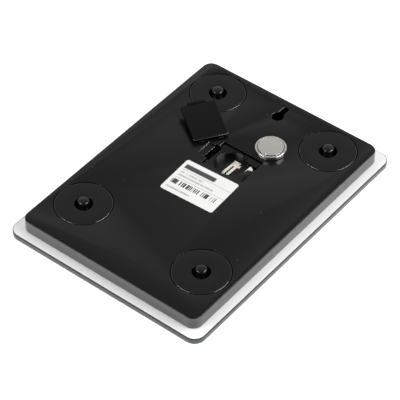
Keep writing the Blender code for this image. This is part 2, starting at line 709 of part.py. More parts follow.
# ---------------------------------------------------------------- feet
def foot_unit(name, x, y, inward):
    """Foot disc, rubber foot, load cell, its carrier and its two screws."""
    place_at = Matrix.Translation((x, y, 0.0))
    disc = lathe("foot_disc_" + name, disc_profile(), FINE, LOOKS["black_plastic"])
    disc.location = (x, y, 0.0)
    rubber = lathe("rubber_foot_" + name, rubber_profile(), COARSE, LOOKS["rubber"])
    rubber.location = (x, y, 0.0)
    place(load_cell("load_cell_" + name, inward), place_at)
    inner_side = -1 if x > 0 else 1
    place(carrier("load_cell_carrier_" + name, inward, inner_side), place_at)
    for side, (ear_x, ear_y) in zip(("a", "b"), ear_places(inward)):
        spot = (x + ear_x, y + ear_y)
        screw("carrier_screw_" + name + "_" + side, spot, EAR_BOTTOM, PANEL_INNER - 1.2 * MM)
    return disc


def disc_profile():
    """Half section of the disc, from the floor of its bore round to the middle of its hub."""
    bore = FOOT_STEM_RADIUS + GAP
    recess = UNDERSIDE - FOOT_RECESS_DEPTH
    return (
        (0.0, BORE_FLOOR),
        (bore, BORE_FLOOR),
        (bore, recess),
        (FOOT_RECESS_RADIUS, recess),
        (FOOT_RECESS_RADIUS, UNDERSIDE),
        (DISC_RADIUS, UNDERSIDE),
        (DISC_RADIUS, FLANGE_TOP),
        (FLANGE_RADIUS, FLANGE_TOP),
        (FLANGE_RADIUS, FLANGE_BOTTOM),
        (DISC_RADIUS - DISC_RIM, FLANGE_BOTTOM),
        (DISC_RADIUS - DISC_RIM, UNDERSIDE - DISC_PLATE),
        (HUB_RADIUS, UNDERSIDE - DISC_PLATE),
        (HUB_RADIUS, HUB_BOTTOM),
        (0.0, HUB_BOTTOM),
    )


def rubber_profile():
    """Half section of the rubber foot: stem, flange in the recess and a domed tip."""
    flange_low = UNDERSIDE - FOOT_RECESS_DEPTH + GAP
    flange_high = flange_low + FOOT_FLANGE
    tip = UNDERSIDE + FOOT_HEIGHT
    crown = FOOT_CROWN
    profile = [
        (0.0, BORE_FLOOR + GAP),
        (FOOT_STEM_RADIUS, BORE_FLOOR + GAP),
        (FOOT_STEM_RADIUS, flange_low),
        (FOOT_RECESS_RADIUS - GAP, flange_low),
        (FOOT_RECESS_RADIUS - GAP, flange_high),
        (FOOT_DOME_RADIUS, flange_high),
    ]
    for step in range(4):
        angle = math.radians(25 * step)
        radius = FOOT_DOME_RADIUS - crown * 1.6 * (1 - math.cos(angle))
        profile.append((radius, tip - crown + crown * math.sin(angle)))
    profile.append((0.0, tip))
    return profile


def load_cell(name, inward):
    """Steel plate cut so that a tongue in its middle bends under the foot."""
    size = LOAD_CELL_SIZE
    plate = prism(
        name, rounded_outline(size, size, LOAD_CELL_CORNER, 3), LOAD_CELL_BOTTOM, LOAD_CELL_TOP, LOOKS["steel"]
    )
    tongue = TONGUE_HALF
    outside = TONGUE_HALF + LOAD_CELL_SLOT
    root = SLOT_ROOT
    tip = SLOT_TIP
    builder = bmesh.new()
    outline = [
        (-outside, root), (outside, root), (outside, tip), (tongue, tip),
        (tongue, root + LOAD_CELL_SLOT), (-tongue, root + LOAD_CELL_SLOT), (-tongue, tip), (-outside, tip),
    ]
    turned = [(x, y * inward) for x, y in outline]
    add_prism(builder, turned, LOAD_CELL_BOTTOM - OVERCUT, LOAD_CELL_TOP + OVERCUT)
    return combine(plate, [finish("tongue_slot", builder, None)], "DIFFERENCE")


def carrier(name, inward, inner_side):
    """Moulded cup that holds the load cell, with two ears for its screws and a way for the lead."""
    top = LOAD_CELL_TOP - CARRIER_STEP
    body = prism(name, circle(FLANGE_RADIUS, FINE), CARRIER_BOTTOM, top, LOOKS["white_plastic"])
    ears = []
    for ear_x, ear_y in ear_places(inward):
        length = math.hypot(ear_x, ear_y)
        builder = bmesh.new()
        half = EAR_RADIUS
        start = FLANGE_RADIUS - 2 * MM
        outline = [(start, -half), (length, -half)]
        for step in range(1, 6):
            angle = -math.pi / 2 + math.pi * step / 6
            outline.append((length + half * math.cos(angle), half * math.sin(angle)))
        outline += [(length, half), (start, half)]
        add_prism(builder, outline, EAR_BOTTOM, EAR_TOP)
        ear = finish("ear", builder, None)
        ears.append(place(ear, Matrix.Rotation(math.atan2(ear_y, ear_x), 4, "Z")))
    combine(body, ears, "UNION")
    room = LOAD_CELL_SIZE + 2 * GAP
    window = rounded_outline(CARRIER_WINDOW, CARRIER_WINDOW, 2 * MM, 2)
    cuts = [
        prism("seat", rounded_outline(room, room, LOAD_CELL_CORNER, 3), CARRIER_SEAT, UNDERSIDE),
        prism("clear", window, CARRIER_BOTTOM - OVERCUT, UNDERSIDE),
    ]
    for spot in ear_places(inward):
        cuts.append(prism("hole", circle(SCREW_RADIUS + GAP, SMALL, spot), BASE_RIM, UNDERSIDE))
    near, far = sorted((inner_side * LOAD_CELL_SIZE / 2, inner_side * (FLANGE_RADIUS + OVERCUT)))
    half = WIRE_RADIUS + 2 * GAP
    low = LEAD_LEVEL - WIRE_RADIUS - GAP
    cuts.append(box("lead_way", (near, -half, low), (far, half, UNDERSIDE)))
    return combine(body, cuts, "DIFFERENCE")


def screw(name, spot, seat, tip):
    """Pan-head screw driven towards the panel; its head hangs under the seat."""
    head_top = seat - FILM_GAP
    profile = (
        (0.0, head_top - SCREW_HEAD),
        (SCREW_HEAD_RADIUS - 0.3 * MM, head_top - SCREW_HEAD),
        (SCREW_HEAD_RADIUS, head_top - SCREW_HEAD * 0.6),
        (SCREW_HEAD_RADIUS, head_top),
        (SCREW_RADIUS, head_top),
        (SCREW_RADIUS, tip - SCREW_POINT),
        (0.0, tip),
    )
    return lathe(name, profile, SMALL, LOOKS["zinc"], spot)


# ---------------------------------------------------------------- battery door
def battery_door():
    """Door with a U-shaped latch at one end and two tabs at the other, laid on the underside."""
    length = RECESS_LENGTH - 2 * GAP
    width = RECESS_WIDTH - 2 * GAP
    plate = prism(
        "battery_door", rounded_outline(length, width, RECESS_CORNER_RADIUS, 2),
        -DOOR_THICKNESS, 0.0, LOOKS["black_plastic"],
    )
    edge = -length / 2
    inner = edge + LATCH_SHEET / 2
    outer = edge - LATCH_OPENING - LATCH_SHEET / 2
    bend = (inner - outer) / 2
    middle = (inner + outer) / 2
    low = -LATCH_DEPTH + bend + LATCH_SHEET / 2
    path = [(inner, -DOOR_THICKNESS / 2)]
    for step in range(7):
        angle = -math.pi * step / 6
        path.append((middle + bend * math.cos(angle), low + bend * math.sin(angle)))
    path.append((outer, -0.4 * MM))
    latch = sheet("latch", path, LATCH_SHEET, LATCH_WIDTH, None)
    half = LATCH_WIDTH / 2
    low = (outer - LATCH_SHEET / 2 - 0.5 * MM, -half, -1.3 * MM)
    lip = box("lip", low, (outer + LATCH_SHEET / 3, half, -0.3 * MM))
    tabs = []
    half = TAB_WIDTH / 2
    tab_bottom = TAB_TOP - TAB_THICKNESS
    for side in (-1, 1):
        middle = side * TAB_SPREAD
        low = (length / 2 - 2.2 * MM, middle - half, tab_bottom)
        tabs.append(box("tab_root", low, (length / 2 - GAP, middle + half, -DOOR_THICKNESS / 2)))
        low = (length / 2 - 1.0 * MM, middle - half, tab_bottom)
        tabs.append(box("tab", low, (length / 2 + TAB_REACH - GAP, middle + half, TAB_TOP)))
    combine(plate, [latch, lip] + tabs, "UNION")
    lay = Matrix.Rotation(DOOR_TURN, 4, "Z") @ Matrix.Rotation(DOOR_TILT, 4, "Y")
    place(plate, lay)
    lowest = min(vertex.co.z for vertex in plate.data.vertices)
    spot = Vector((DOOR_PLACE[0], DOOR_PLACE[1], UNDERSIDE + GAP - lowest))
    plate.location = spot
    return plate


# ---------------------------------------------------------------- coin cell
def coin_cell():
    """Cell lying on the underside with its cap up: can, gasket and cap."""
    x, y = CELL_PLACE
    low = UNDERSIDE + GAP
    high = low + CELL_HEIGHT
    rim = high - 0.2 * MM
    gasket_out = CELL_RADIUS - CELL_SHEET - 0.1 * MM
    gasket_in = CELL_CAP_RADIUS + 0.1 * MM
    can_profile = (
        (0.0, low),
        (CELL_RADIUS - 0.4 * MM, low),
        (CELL_RADIUS, low + 0.4 * MM),
        (CELL_RADIUS, rim - 0.3 * MM),
        (CELL_RADIUS - 0.3 * MM, rim),
        (CELL_RADIUS - CELL_SHEET, rim),
        (CELL_RADIUS - CELL_SHEET, low + CELL_SHEET),
        (0.0, low + CELL_SHEET),
    )
    cap_low = low + CELL_SHEET + 0.6 * MM
    gasket_profile = (
        (gasket_out, low + CELL_SHEET + 0.1 * MM),
        (gasket_out, rim),
        (gasket_in, rim),
        (gasket_in, low + CELL_SHEET + 0.1 * MM),
    )
    cap_profile = (
        (0.0, cap_low),
        (CELL_CAP_RADIUS, cap_low),
        (CELL_CAP_RADIUS, high - 0.25 * MM),
        (CELL_CAP_RADIUS - 0.3 * MM, high),
        (0.0, high),
    )
    pieces = [
        lathe("cell_can", can_profile, FINE, LOOKS["cell_steel"], CELL_PLACE),
        lathe("cell_gasket", gasket_profile, FINE, LOOKS["gasket"], CELL_PLACE),
        lathe("cell_cap", cap_profile, FINE, LOOKS["cell_steel"], CELL_PLACE),
    ]
    holder = Vector((HOLDER_X, HOLDER_Y, CELL_SEATED_Z))
    pivot = (Vector((x, y, CELL_CENTRE_Z)) + holder) / 2
    for piece in pieces:
        set_origin(piece, pivot)
    return pieces


# ---------------------------------------------------------------- battery contacts
def negative_contact():
    """Forked spring on the floor of the holder: a flat root, then two tines that rise."""
    floor = HOLDER_FLOOR + GAP + CONTACT_SHEET / 2
    crest = CELL_SEAT - GAP - CONTACT_SHEET / 2
    path = (
        (-7.6 * MM, floor),
        (-4.6 * MM, floor),
        (-3.4 * MM, floor + 0.1 * MM),
        (4.6 * MM, crest),
        (5.6 * MM, crest - 0.1 * MM),
        (6.6 * MM, crest - 0.5 * MM),
    )
    strip = sheet("negative_contact", path, CONTACT_SHEET, FORK_WIDTH, LOOKS["contact"])
    half = FORK_WIDTH / 2
    low = floor - CONTACT_SHEET / 2
    lug = box("lug", (-5.6 * MM, half - 1 * MM, low), (-3.4 * MM, half + FORK_LUG, low + CONTACT_SHEET))
    combine(strip, [lug], "UNION")
    slot = box("fork_slot", (-3 * MM, -FORK_SLOT / 2, HOLDER_FLOOR), (8 * MM, FORK_SLOT / 2, CELL_SEAT))
    combine(strip, [slot], "DIFFERENCE")
    middle = (HOLDER_X + FORK_OFFSET[0], HOLDER_Y + FORK_OFFSET[1], 0.0)
    return place(strip, Matrix.Translation(middle) @ Matrix.Rotation(-math.pi / 2, 4, "Z"))


def positive_contact():
    """Upright leaf beside the holder with a flag folded over at its top."""
    x = SIDE_CONTACT_X
    flag_top = LEDGE - GAP
    flag_low = flag_top - CONTACT_SHEET
    half = CONTACT_SHEET / 2
    low = (x - half, HOLDER_Y + SIDE_CONTACT_LOW, HOLDER_FLOOR + GAP)
    high = (x + half, HOLDER_Y + SIDE_CONTACT_HIGH, flag_top)
    leaf = box("positive_contact", low, high, LOOKS["contact"])
    flag = [
        (x - half / 2, HOLDER_Y + SIDE_FLAG_LOW),
        (x + SIDE_FLAG_REACH, HOLDER_Y + SIDE_FLAG_LOW + 0.8 * MM),
        (x + SIDE_FLAG_REACH * 0.7, HOLDER_Y + SIDE_CONTACT_HIGH - 0.6 * MM),
        (x - half / 2, HOLDER_Y + SIDE_CONTACT_HIGH - 0.1 * MM),
    ]
    return combine(leaf, [prism("flag", flag, flag_low, flag_top)], "UNION")


# ---------------------------------------------------------------- label
def rating_label():
    """Blank paper label, stuck on a little askew."""
    outline = rounded_outline(LABEL_WIDTH, LABEL_HEIGHT, LABEL_CORNER_RADIUS, 4)
    low = UNDERSIDE + FILM_GAP
    label = prism("rating_label", outline, low, low + LABEL_THICKNESS, LOOKS["paper"])
    turn = Matrix.Translation((*LABEL_CENTRE, 0.0)) @ Matrix.Rotation(LABEL_TURN, 4, "Z")
    return place(label, turn)


# ---------------------------------------------------------------- electronics
def circuit_board():
    """Board held on two bosses by two screws."""
    outline = rounded_outline(BOARD_WIDTH, BOARD_DEPTH, BOARD_CORNER_RADIUS, 2, (0.0, BOARD_Y))
    board = prism("circuit_board", outline, BOARD_BOTTOM, BOARD_TOP, LOOKS["board"])
    holes = []
    for side in (-1, 1):
        spot = (side * BOARD_SCREW_X, BOARD_Y)
        holes.append(prism("hole", circle(SCREW_RADIUS + GAP, SMALL, spot), BOARD_BOTTOM - OVERCUT, UNDERSIDE))
    combine(board, holes, "DIFFERENCE")
    for side, name in ((-1, "left"), (1, "right")):
        spot = (side * BOARD_SCREW_X, BOARD_Y)
        screw("board_screw_" + name, spot, BOARD_BOTTOM, PANEL_INNER + 0.4 * MM)
    outline = circle(POTTING_RADIUS, SMALL, (POTTING_X, BOARD_Y))
    seat = BOARD_TOP + FILM_GAP
    prism("chip_potting", outline, seat, seat + POTTING_HEIGHT, LOOKS["potting"])
    long, wide, tall = CRYSTAL_SIZE
    low = (CRYSTAL_X - long / 2, BOARD_Y - wide / 2, seat)
    high = (CRYSTAL_X + long / 2, BOARD_Y + wide / 2, seat + tall)
    box("clock_crystal", low, high, LOOKS["zinc"])
    return board


def display():
    """Display glass, the frame round it and its two rubber connectors."""
    width = DISPLAY_WIDTH
    depth = DISPLAY_DEPTH
    outline = rounded_outline(width, depth, 0.4 * MM, 1, (0.0, BOARD_Y))
    prism("display_glass", outline, DISPLAY_BOTTOM, DISPLAY_TOP, LOOKS["display"])
    clear = 2 * GAP
    wall = 2 * DISPLAY_FRAME_WALL
    outer = rounded_outline(width + clear + wall, depth + clear + wall, 1.0 * MM, 2, (0.0, BOARD_Y))
    frame = prism("display_frame", outer, DISPLAY_BOTTOM, BOARD_BOTTOM - FILM_GAP, LOOKS["white_plastic"])
    inner = rounded_outline(width + clear, depth + clear, 0.4 * MM, 1, (0.0, BOARD_Y))
    combine(frame, [prism("opening", inner, DISPLAY_BOTTOM - OVERCUT, UNDERSIDE)], "DIFFERENCE")
    half = CONNECTOR_WIDTH / 2
    reach = width / 2 - 1 * MM
    for side, name in ((-1, "outer"), (1, "inner")):
        middle = BOARD_Y + side * (depth / 2 - CONNECTOR_WIDTH)
        low = (-reach, middle - half, CONNECTOR_BOTTOM)
        box("display_connector_" + name, low, (reach, middle + half, CONNECTOR_TOP), LOOKS["silicone"])


def key_springs():
    """Two touch springs between the board and the glass, clear of the board screws."""
    steps = 10
    low = GLASS_BACK + GAP + KEY_SPRING_WIRE
    high = BOARD_BOTTOM - GAP - KEY_SPRING_WIRE
    for side, name in ((-1, "left"), (1, "right")):
        points = []
        total = KEY_SPRING_TURNS * steps
        for step in range(total + 1):
            angle = 2 * math.pi * step / steps
            x = side * KEY_SPRING_X + KEY_SPRING_RADIUS * math.cos(angle)
            y = KEY_SPRING_Y + KEY_SPRING_RADIUS * math.sin(angle)
            points.append((x, y, low + (high - low) * step / total))
        tube("key_spring_" + name, points, KEY_SPRING_WIRE, LOOKS["steel"], 0)


def wiring():
    """Leads from the load cells and from the battery contacts to the board."""
    board_edge = BOARD_Y + BOARD_DEPTH / 2
    inner_lane = DISPLAY_FEET_X - SOCKET_RADIUS - 2.4 * RIB - 2 * WIRE_RADIUS
    end_z = BOARD_TOP + FILM_GAP + WIRE_RADIUS
    for name, x, y, inward in foot_places():
        side = 1 if x > 0 else -1
        rim = abs(x) - SOCKET_RADIUS - RIB - 1.2 * MM
        start = abs(x) - LOAD_CELL_SIZE / 2 - GAP - WIRE_RADIUS
        corners = [
            (side * start, y, LOAD_CELL_BOTTOM + WIRE_RADIUS),
            (side * (start - 3 * MM), y, LEAD_LEVEL),
            (side * rim, y, LEAD_LEVEL),
        ]
        if inward > 0:
            corners += [
                (side * (rim - 0.8 * MM), y - 6 * MM, WIRE_LEVEL),
                (side * (inner_lane + 1.6 * MM), board_edge - 3 * MM, end_z),
            ]
        else:
            corners += [
                (side * inner_lane, y - 12 * MM, WIRE_LEVEL),
                (side * inner_lane, board_edge + 14 * MM, WIRE_LEVEL),
                (side * (inner_lane - 3 * MM), board_edge - 3 * MM, end_z),
            ]
        points = smooth_route(corners, 2 * MM, 3)
        tube("load_cell_lead_" + name, points, WIRE_RADIUS, LOOKS["lead_white"])
    tub_edge = RECESS_CENTRE_Y - RECESS_WIDTH / 2 - TUB_WALL
    for side, name in ((1, "positive"), (-1, "negative")):
        lane = HOLDER_X + side * BATTERY_LEAD_X
        corners = [
            (lane, tub_edge - GAP - WIRE_RADIUS, WIRE_LEVEL - 1.6 * MM),
            (lane, tub_edge - 5 * MM, WIRE_LEVEL),
            (side * 6.0 * MM, board_edge + 10 * MM, WIRE_LEVEL),
            (side * 12.0 * MM, board_edge - 3 * MM, end_z),
        ]
        look = LOOKS["lead_red"] if side > 0 else LOOKS["lead_black"]
        tube("battery_lead_" + name, smooth_route(corners, 4 * MM), WIRE_RADIUS, look)


# ---------------------------------------------------------------- build
for leftover in list(bpy.data.objects):
    bpy.data.objects.remove(leftover, do_unlink=True)

LOOKS = {
    "black_plastic": material("black_plastic", (0.018, 0.018, 0.02), 0.35),
    "glass": material("glass", (0.72, 0.75, 0.76), 0.15),
    "tape": material("tape", (0.75, 0.75, 0.72), 0.8),
    "rubber": material("rubber", (0.02, 0.02, 0.02), 0.5),
    "steel": material("steel", (0.55, 0.56, 0.57), 0.35, 1.0),
    "zinc": material("zinc", (0.62, 0.63, 0.65), 0.3, 1.0),
    "white_plastic": material("white_plastic", (0.8, 0.8, 0.78), 0.45),
    "cell_steel": material("cell_steel", (0.68, 0.66, 0.63), 0.25, 1.0),
    "gasket": material("gasket", (0.12, 0.12, 0.13), 0.5),
    "contact": material("contact", (0.86, 0.8, 0.66), 0.25, 1.0),
    "paper": material("paper", (0.86, 0.86, 0.85), 0.6),
    "board": material("board", (0.03, 0.18, 0.07), 0.4),
    "potting": material("potting", (0.02, 0.02, 0.02), 0.3),
    "display": material("display", (0.35, 0.4, 0.36), 0.1),
    "silicone": material("silicone", (0.75, 0.5, 0.55), 0.6),
    "lead_white": material("lead_white", (0.8, 0.8, 0.8), 0.5),
    "lead_red": material("lead_red", (0.6, 0.03, 0.03), 0.5),
    "lead_black": material("lead_black", (0.02, 0.02, 0.02), 0.5),
}

glass_platform()
bonding_tape()
base_housing()
for unit in foot_places():
    foot_unit(*unit)
battery_door()
coin_cell()
negative_contact()
positive_contact()
rating_label()
circuit_board()
display()
key_springs()
wiring()
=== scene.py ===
"""Looks for the slim kitchen scale that lies face down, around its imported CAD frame."""
import json
import math

import bmesh
import bpy
from mathutils import Matrix, Vector

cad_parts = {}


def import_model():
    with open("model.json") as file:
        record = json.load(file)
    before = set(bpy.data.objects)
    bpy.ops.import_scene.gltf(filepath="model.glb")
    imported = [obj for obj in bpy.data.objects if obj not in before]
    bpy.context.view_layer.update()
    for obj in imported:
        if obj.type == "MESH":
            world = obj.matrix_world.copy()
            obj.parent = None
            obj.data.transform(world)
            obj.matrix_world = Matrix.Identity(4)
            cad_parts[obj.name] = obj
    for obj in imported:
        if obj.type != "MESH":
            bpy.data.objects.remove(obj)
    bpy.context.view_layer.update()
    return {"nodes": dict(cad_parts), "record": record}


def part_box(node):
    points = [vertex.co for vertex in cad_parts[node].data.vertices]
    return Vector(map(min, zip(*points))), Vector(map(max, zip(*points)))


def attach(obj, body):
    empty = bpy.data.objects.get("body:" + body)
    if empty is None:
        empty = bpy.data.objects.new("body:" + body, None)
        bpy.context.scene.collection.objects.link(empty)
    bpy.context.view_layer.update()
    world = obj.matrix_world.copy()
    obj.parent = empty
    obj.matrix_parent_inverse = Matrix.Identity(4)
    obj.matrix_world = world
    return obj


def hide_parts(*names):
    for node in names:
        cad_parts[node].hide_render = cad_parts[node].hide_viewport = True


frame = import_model()

MM = 0.001
NODES = frame["nodes"]
BODY_OF = {
    node: body
    for body, members in frame["record"]["behaviour"]["bodies"].items()
    for node in members
}
SLOT_OF = {row["node"]: row["material_slot"] for row in frame["record"]["subparts"]}

# ------------------------------------------------------------------ measures taken from the frame
HOUSING_LOW, HOUSING_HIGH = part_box("base_housing")
GLASS_LOW, GLASS_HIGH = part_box("glass_platform")
LABEL_LOW, LABEL_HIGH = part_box("rating_label")
UNDERSIDE = HOUSING_HIGH.z
FEET = ("display_left", "display_right", "keyhole_left", "keyhole_right")

# ------------------------------------------------------------------ other measures
HOUSING_CORNER = 6.6 * MM
HOUSING_BEVEL = 0.28 * MM
HOUSING_WALL_ROOM = 3.0 * MM      # how far in from the sides an edge still counts as outer
HOLDER_MIDDLE = Vector((1.8 * MM, 25.7 * MM))
HOLDER_REACH = 10.9 * MM          # upright faces this near the holder's middle are its bore
DISC_REACH = 19.2 * MM            # faces this near a disc's middle belong to its groove
DEEPEST_SEEN = 1.7 * MM           # edges below this depth stay sharp
DEEP_EDGE = 0.8 * MM              # rounded edges below this depth get painted shade, unless they face the lights in the scoop
SCOOP_X = (-21.0 * MM, -14.5 * MM)
GLASS_CORNER = 7.6 * MM
GLASS_ARRIS = 0.35 * MM
PRINT_MARGIN = 0.12 * MM
PRINT_BORDER = 8.0 * MM
LABEL_SIZE = (39.4 * MM, 29.8 * MM)
LABEL_CORNER = 1.6 * MM
LABEL_TURN = math.radians(2.6)
DOOR_TURN = math.radians(-34.0)
DOOR_BEVEL = 0.25 * MM
LATCH_START = -12.6 * MM          # along the door, from its middle
CONTACT_BEVEL = 0.05 * MM
SHARP_ABOVE = math.radians(28.0)  # edges with a larger angle are rounded
LATHE_SIDES_CELL = 160
LATHE_SIDES_DISC = 128
LATHE_SIDES_FOOT = 64

# light: azimuth, elevation, distance, size and power of each box
LEFT_BOX = (-26.0, 36.0, 1.3, (0.9, 0.3), 9.0)
RIGHT_BOX = (112.0, 38.0, 1.3, (1.2, 0.45), 16.5)
FLOOR_SIZE = 3.0
FLOOR_DROP = 0.05 * MM
# brightness of the surround, from facing away from DARK_SIDE (0) to facing it (1)
DARK_SIDE = (0.44, -0.55, 0.71)
STUDIO_LEVELS = (
    (0.0, 0.58), (0.44, 0.58), (0.50, 0.50), (0.58, 0.40), (0.72, 0.36), (0.95, 0.08), (1.0, 0.08),
)

WHITE = (1.0, 1.0, 1.0, 1.0)
DUST = (0.30, 0.295, 0.285)


def middle_of(node):
    """Middle of a node's box."""
    low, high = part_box(node)
    return (low + high) / 2


# ------------------------------------------------------------------ camera
CAMERA_AZIMUTH = math.radians(38.62)
CAMERA_ELEVATION = math.radians(44.96)
CAMERA_ROLL = math.radians(-0.2)
CAMERA_DISTANCE = 1.2863
CAMERA_RIGHT = -0.001826
CAMERA_UP = -0.01070
CAMERA_LENS = 187.2
CAMERA_SENSOR = 36.0


def make_camera():
    """Camera that looks at the middle of the underside, moved a little in its own plane."""
    flat = math.cos(CAMERA_ELEVATION)
    back = Vector((
        math.sin(CAMERA_AZIMUTH) * flat,
        -math.cos(CAMERA_AZIMUTH) * flat,
        math.sin(CAMERA_ELEVATION),
    ))
    right = Vector((math.cos(CAMERA_AZIMUTH), math.sin(CAMERA_AZIMUTH), 0.0))
    up = back.cross(right)
    data = bpy.data.cameras.new("camera")
    data.lens = CAMERA_LENS
    data.sensor_width = CAMERA_SENSOR
    data.clip_start = 0.05
    data.clip_end = 20.0
    camera = bpy.data.objects.new("camera", data)
    turn = Matrix((right, up, back)).transposed().to_4x4()
    spot = Vector((0.0, 0.0, UNDERSIDE)) + back * CAMERA_DISTANCE
    spot += right * CAMERA_RIGHT + up * CAMERA_UP
    camera.matrix_world = Matrix.Translation(spot) @ turn @ Matrix.Rotation(CAMERA_ROLL, 4, "Z")
    bpy.context.scene.collection.objects.link(camera)
    bpy.context.scene.camera = camera


# ------------------------------------------------------------------ shader helpers
class Shader:
    """A node material with a few shortcuts for building its tree."""

    def __init__(self, name):
        self.material = bpy.data.materials.new(name)
        self.material.use_nodes = True
        self.tree = self.material.node_tree
        self.principled = self.tree.nodes["Principled BSDF"]
        self.coords = self.tree.nodes.new("ShaderNodeTexCoord")
        self.place = self.coords.outputs["Object"]

    def link(self, source, target):
        self.tree.links.new(source, target)

    def put(self, value, socket):
        if isinstance(value, bpy.types.NodeSocket):
            self.link(value, socket)
        else:
            socket.default_value = value

    def math(self, operation, first, second=0.0):
        node = self.tree.nodes.new("ShaderNodeMath")
        node.operation = operation
        self.put(first, node.inputs[0])
        self.put(second, node.inputs[1])
        return node.outputs[0]

    def weighted(self, first, share, second):
        """share of first and the rest of second."""
        kept = self.math("MULTIPLY", first, share)
        return self.math("ADD", kept, self.math("MULTIPLY", second, 1.0 - share))

    def span(self, value, low, high, to_low, to_high):
        """value carried from low..high to to_low..to_high."""
        node = self.tree.nodes.new("ShaderNodeMapRange")
        self.put(value, node.inputs["Value"])
        node.inputs["From Min"].default_value = low
        node.inputs["From Max"].default_value = high
        node.inputs["To Min"].default_value = to_low
        node.inputs["To Max"].default_value = to_high
        return node.outputs["Result"]

    def stretched(self, scale):
        node = self.tree.nodes.new("ShaderNodeMapping")
        self.link(self.place, node.inputs["Vector"])
        node.inputs["Scale"].default_value = scale
        return node.outputs["Vector"]

    def noise(self, scale, detail=3.0, rough=0.5, place=None):
        node = self.tree.nodes.new("ShaderNodeTexNoise")
        self.link(place or self.place, node.inputs["Vector"])
        node.inputs["Scale"].default_value = scale
        node.inputs["Detail"].default_value = detail
        node.inputs["Roughness"].default_value = rough
        return node.outputs["Fac"]

    def mix(self, factor, first, second):
        node = self.tree.nodes.new("ShaderNodeMix")
        node.data_type = "RGBA"
        self.put(factor, node.inputs["Factor"])
        for value, socket in ((first, node.inputs[6]), (second, node.inputs[7])):
            if isinstance(value, bpy.types.NodeSocket):
                self.link(value, socket)
            else:
                socket.default_value = (*value, 1.0)
        return node.outputs[2]

    def axes(self):
        node = self.tree.nodes.new("ShaderNodeSeparateXYZ")
        self.link(self.place, node.inputs[0])
        return node.outputs

    def specks(self, pitch, radius, share):
        """Mask of small round specks, one in some of the cells of a loose grid."""
        node = self.tree.nodes.new("ShaderNodeTexVoronoi")
        self.link(self.place, node.inputs["Vector"])
        node.inputs["Scale"].default_value = 1.0 / pitch
        split = self.tree.nodes.new("ShaderNodeSeparateColor")
        self.link(node.outputs["Color"], split.inputs[0])
        near = self.math("LESS_THAN", node.outputs["Distance"], radius / pitch)
        chosen = self.math("LESS_THAN", split.outputs[0], share)
        return self.math("MULTIPLY", near, chosen)

    def bump(self, height, strength, distance):
        node = self.tree.nodes.new("ShaderNodeBump")
        node.inputs["Strength"].default_value = strength
        node.inputs["Distance"].default_value = distance
        self.link(height, node.inputs["Height"])
        return node.outputs["Normal"]

    def set(self, **values):
        """Sets or links the Principled sockets; spaces in their names are written as _."""
        for key, value in values.items():
            self.put(value, self.principled.inputs[key.replace("_", " ")])


def shades(colour, amount):
    """A darker and a lighter shade of a colour."""
    dark = tuple(channel * (1.0 - amount) for channel in colour)
    light = tuple(min(1.0, channel * (1.0 + amount)) for channel in colour)
    return dark, light


def plain(name, colour, roughness, metallic=0.0, tone=0.08, grain=2500.0, streak=None):
    """Common finish: mottled colour, uneven gloss and a fine grain."""
    shader = Shader(name)
    place = shader.stretched(streak) if streak else shader.place
    mottle = shader.noise(90.0, 4.0, 0.6)
    fine = shader.noise(grain, 2.0, 0.6, place)
    dark, light = shades(colour, tone)
    shader.set(
        Base_Color=shader.mix(shader.weighted(mottle, 0.65, fine), dark, light),
        Roughness=shader.span(mottle, 0.3, 0.7, roughness - 0.06, roughness + 0.06),
        Metallic=metallic,
        Normal=shader.bump(fine, 0.35, 0.02 * MM),
    )
    return shader.material


# ------------------------------------------------------------------ materials
def black_plastic(name, tone_value, roughness, dust, specular=0.3, coat=0.0):
    """Satin black moulding: fine spark-eroded grain, faint flow marks and a little dust."""
    shader = Shader(name)
    flow = shader.noise(14.0, 4.0, 0.55, shader.stretched((1.0, 0.45, 1.0)))
    grain = shader.noise(5200.0, 2.0, 0.6)
    wear = shader.noise(160.0, 5.0, 0.7)
    base = shader.mix(flow, (tone_value * 0.86,) * 3, (tone_value * 1.12,) * 3)
    if dust:
        coarse = shader.specks(13.0 * MM, 0.36 * MM, 0.4)
        fine = shader.specks(7.0 * MM, 0.2 * MM, 0.4)
        specks = shader.math("MAXIMUM", coarse, fine)
        base = shader.mix(shader.math("MULTIPLY", specks, 0.75), base, DUST)
    shine = shader.weighted(flow, 0.5, wear)
    shader.set(
        Base_Color=base,
        Roughness=shader.span(shine, 0.35, 0.65, roughness - 0.05, roughness + 0.05),
        Specular_IOR_Level=specular, Coat_Weight=coat, Coat_Roughness=roughness,
        Normal=shader.bump(grain, 0.3, 0.02 * MM),
    )
    return shader.material


def silver_print(shader):
    """Bright paint with fine flakes: its colour, and the flakes themselves."""
    flakes = shader.noise(3800.0, 2.0, 0.7)
    drift = shader.noise(30.0, 3.0, 0.5)
    blend = shader.weighted(flakes, 0.6, drift)
    return shader.mix(blend, (0.85, 0.855, 0.86), (0.95, 0.955, 0.96)), flakes


def back_print():
    """Silver border on the back of the glass; a slight white emission is painted light that keeps
    it evenly bright.
    """
    shader = Shader("silver_back_print_painted_glow")
    colour, flakes = silver_print(shader)
    shader.set(
        Base_Color=colour, Roughness=shader.span(flakes, 0.3, 0.7, 0.36, 0.5), Metallic=0.06,
        Coat_Weight=0.3, Coat_Roughness=0.25, Normal=shader.bump(flakes, 0.12, 0.02 * MM),
        # Emission: painted light, a glow the print itself doesn't have.
        Emission_Color=WHITE, Emission_Strength=0.13,
    )
    return shader.material


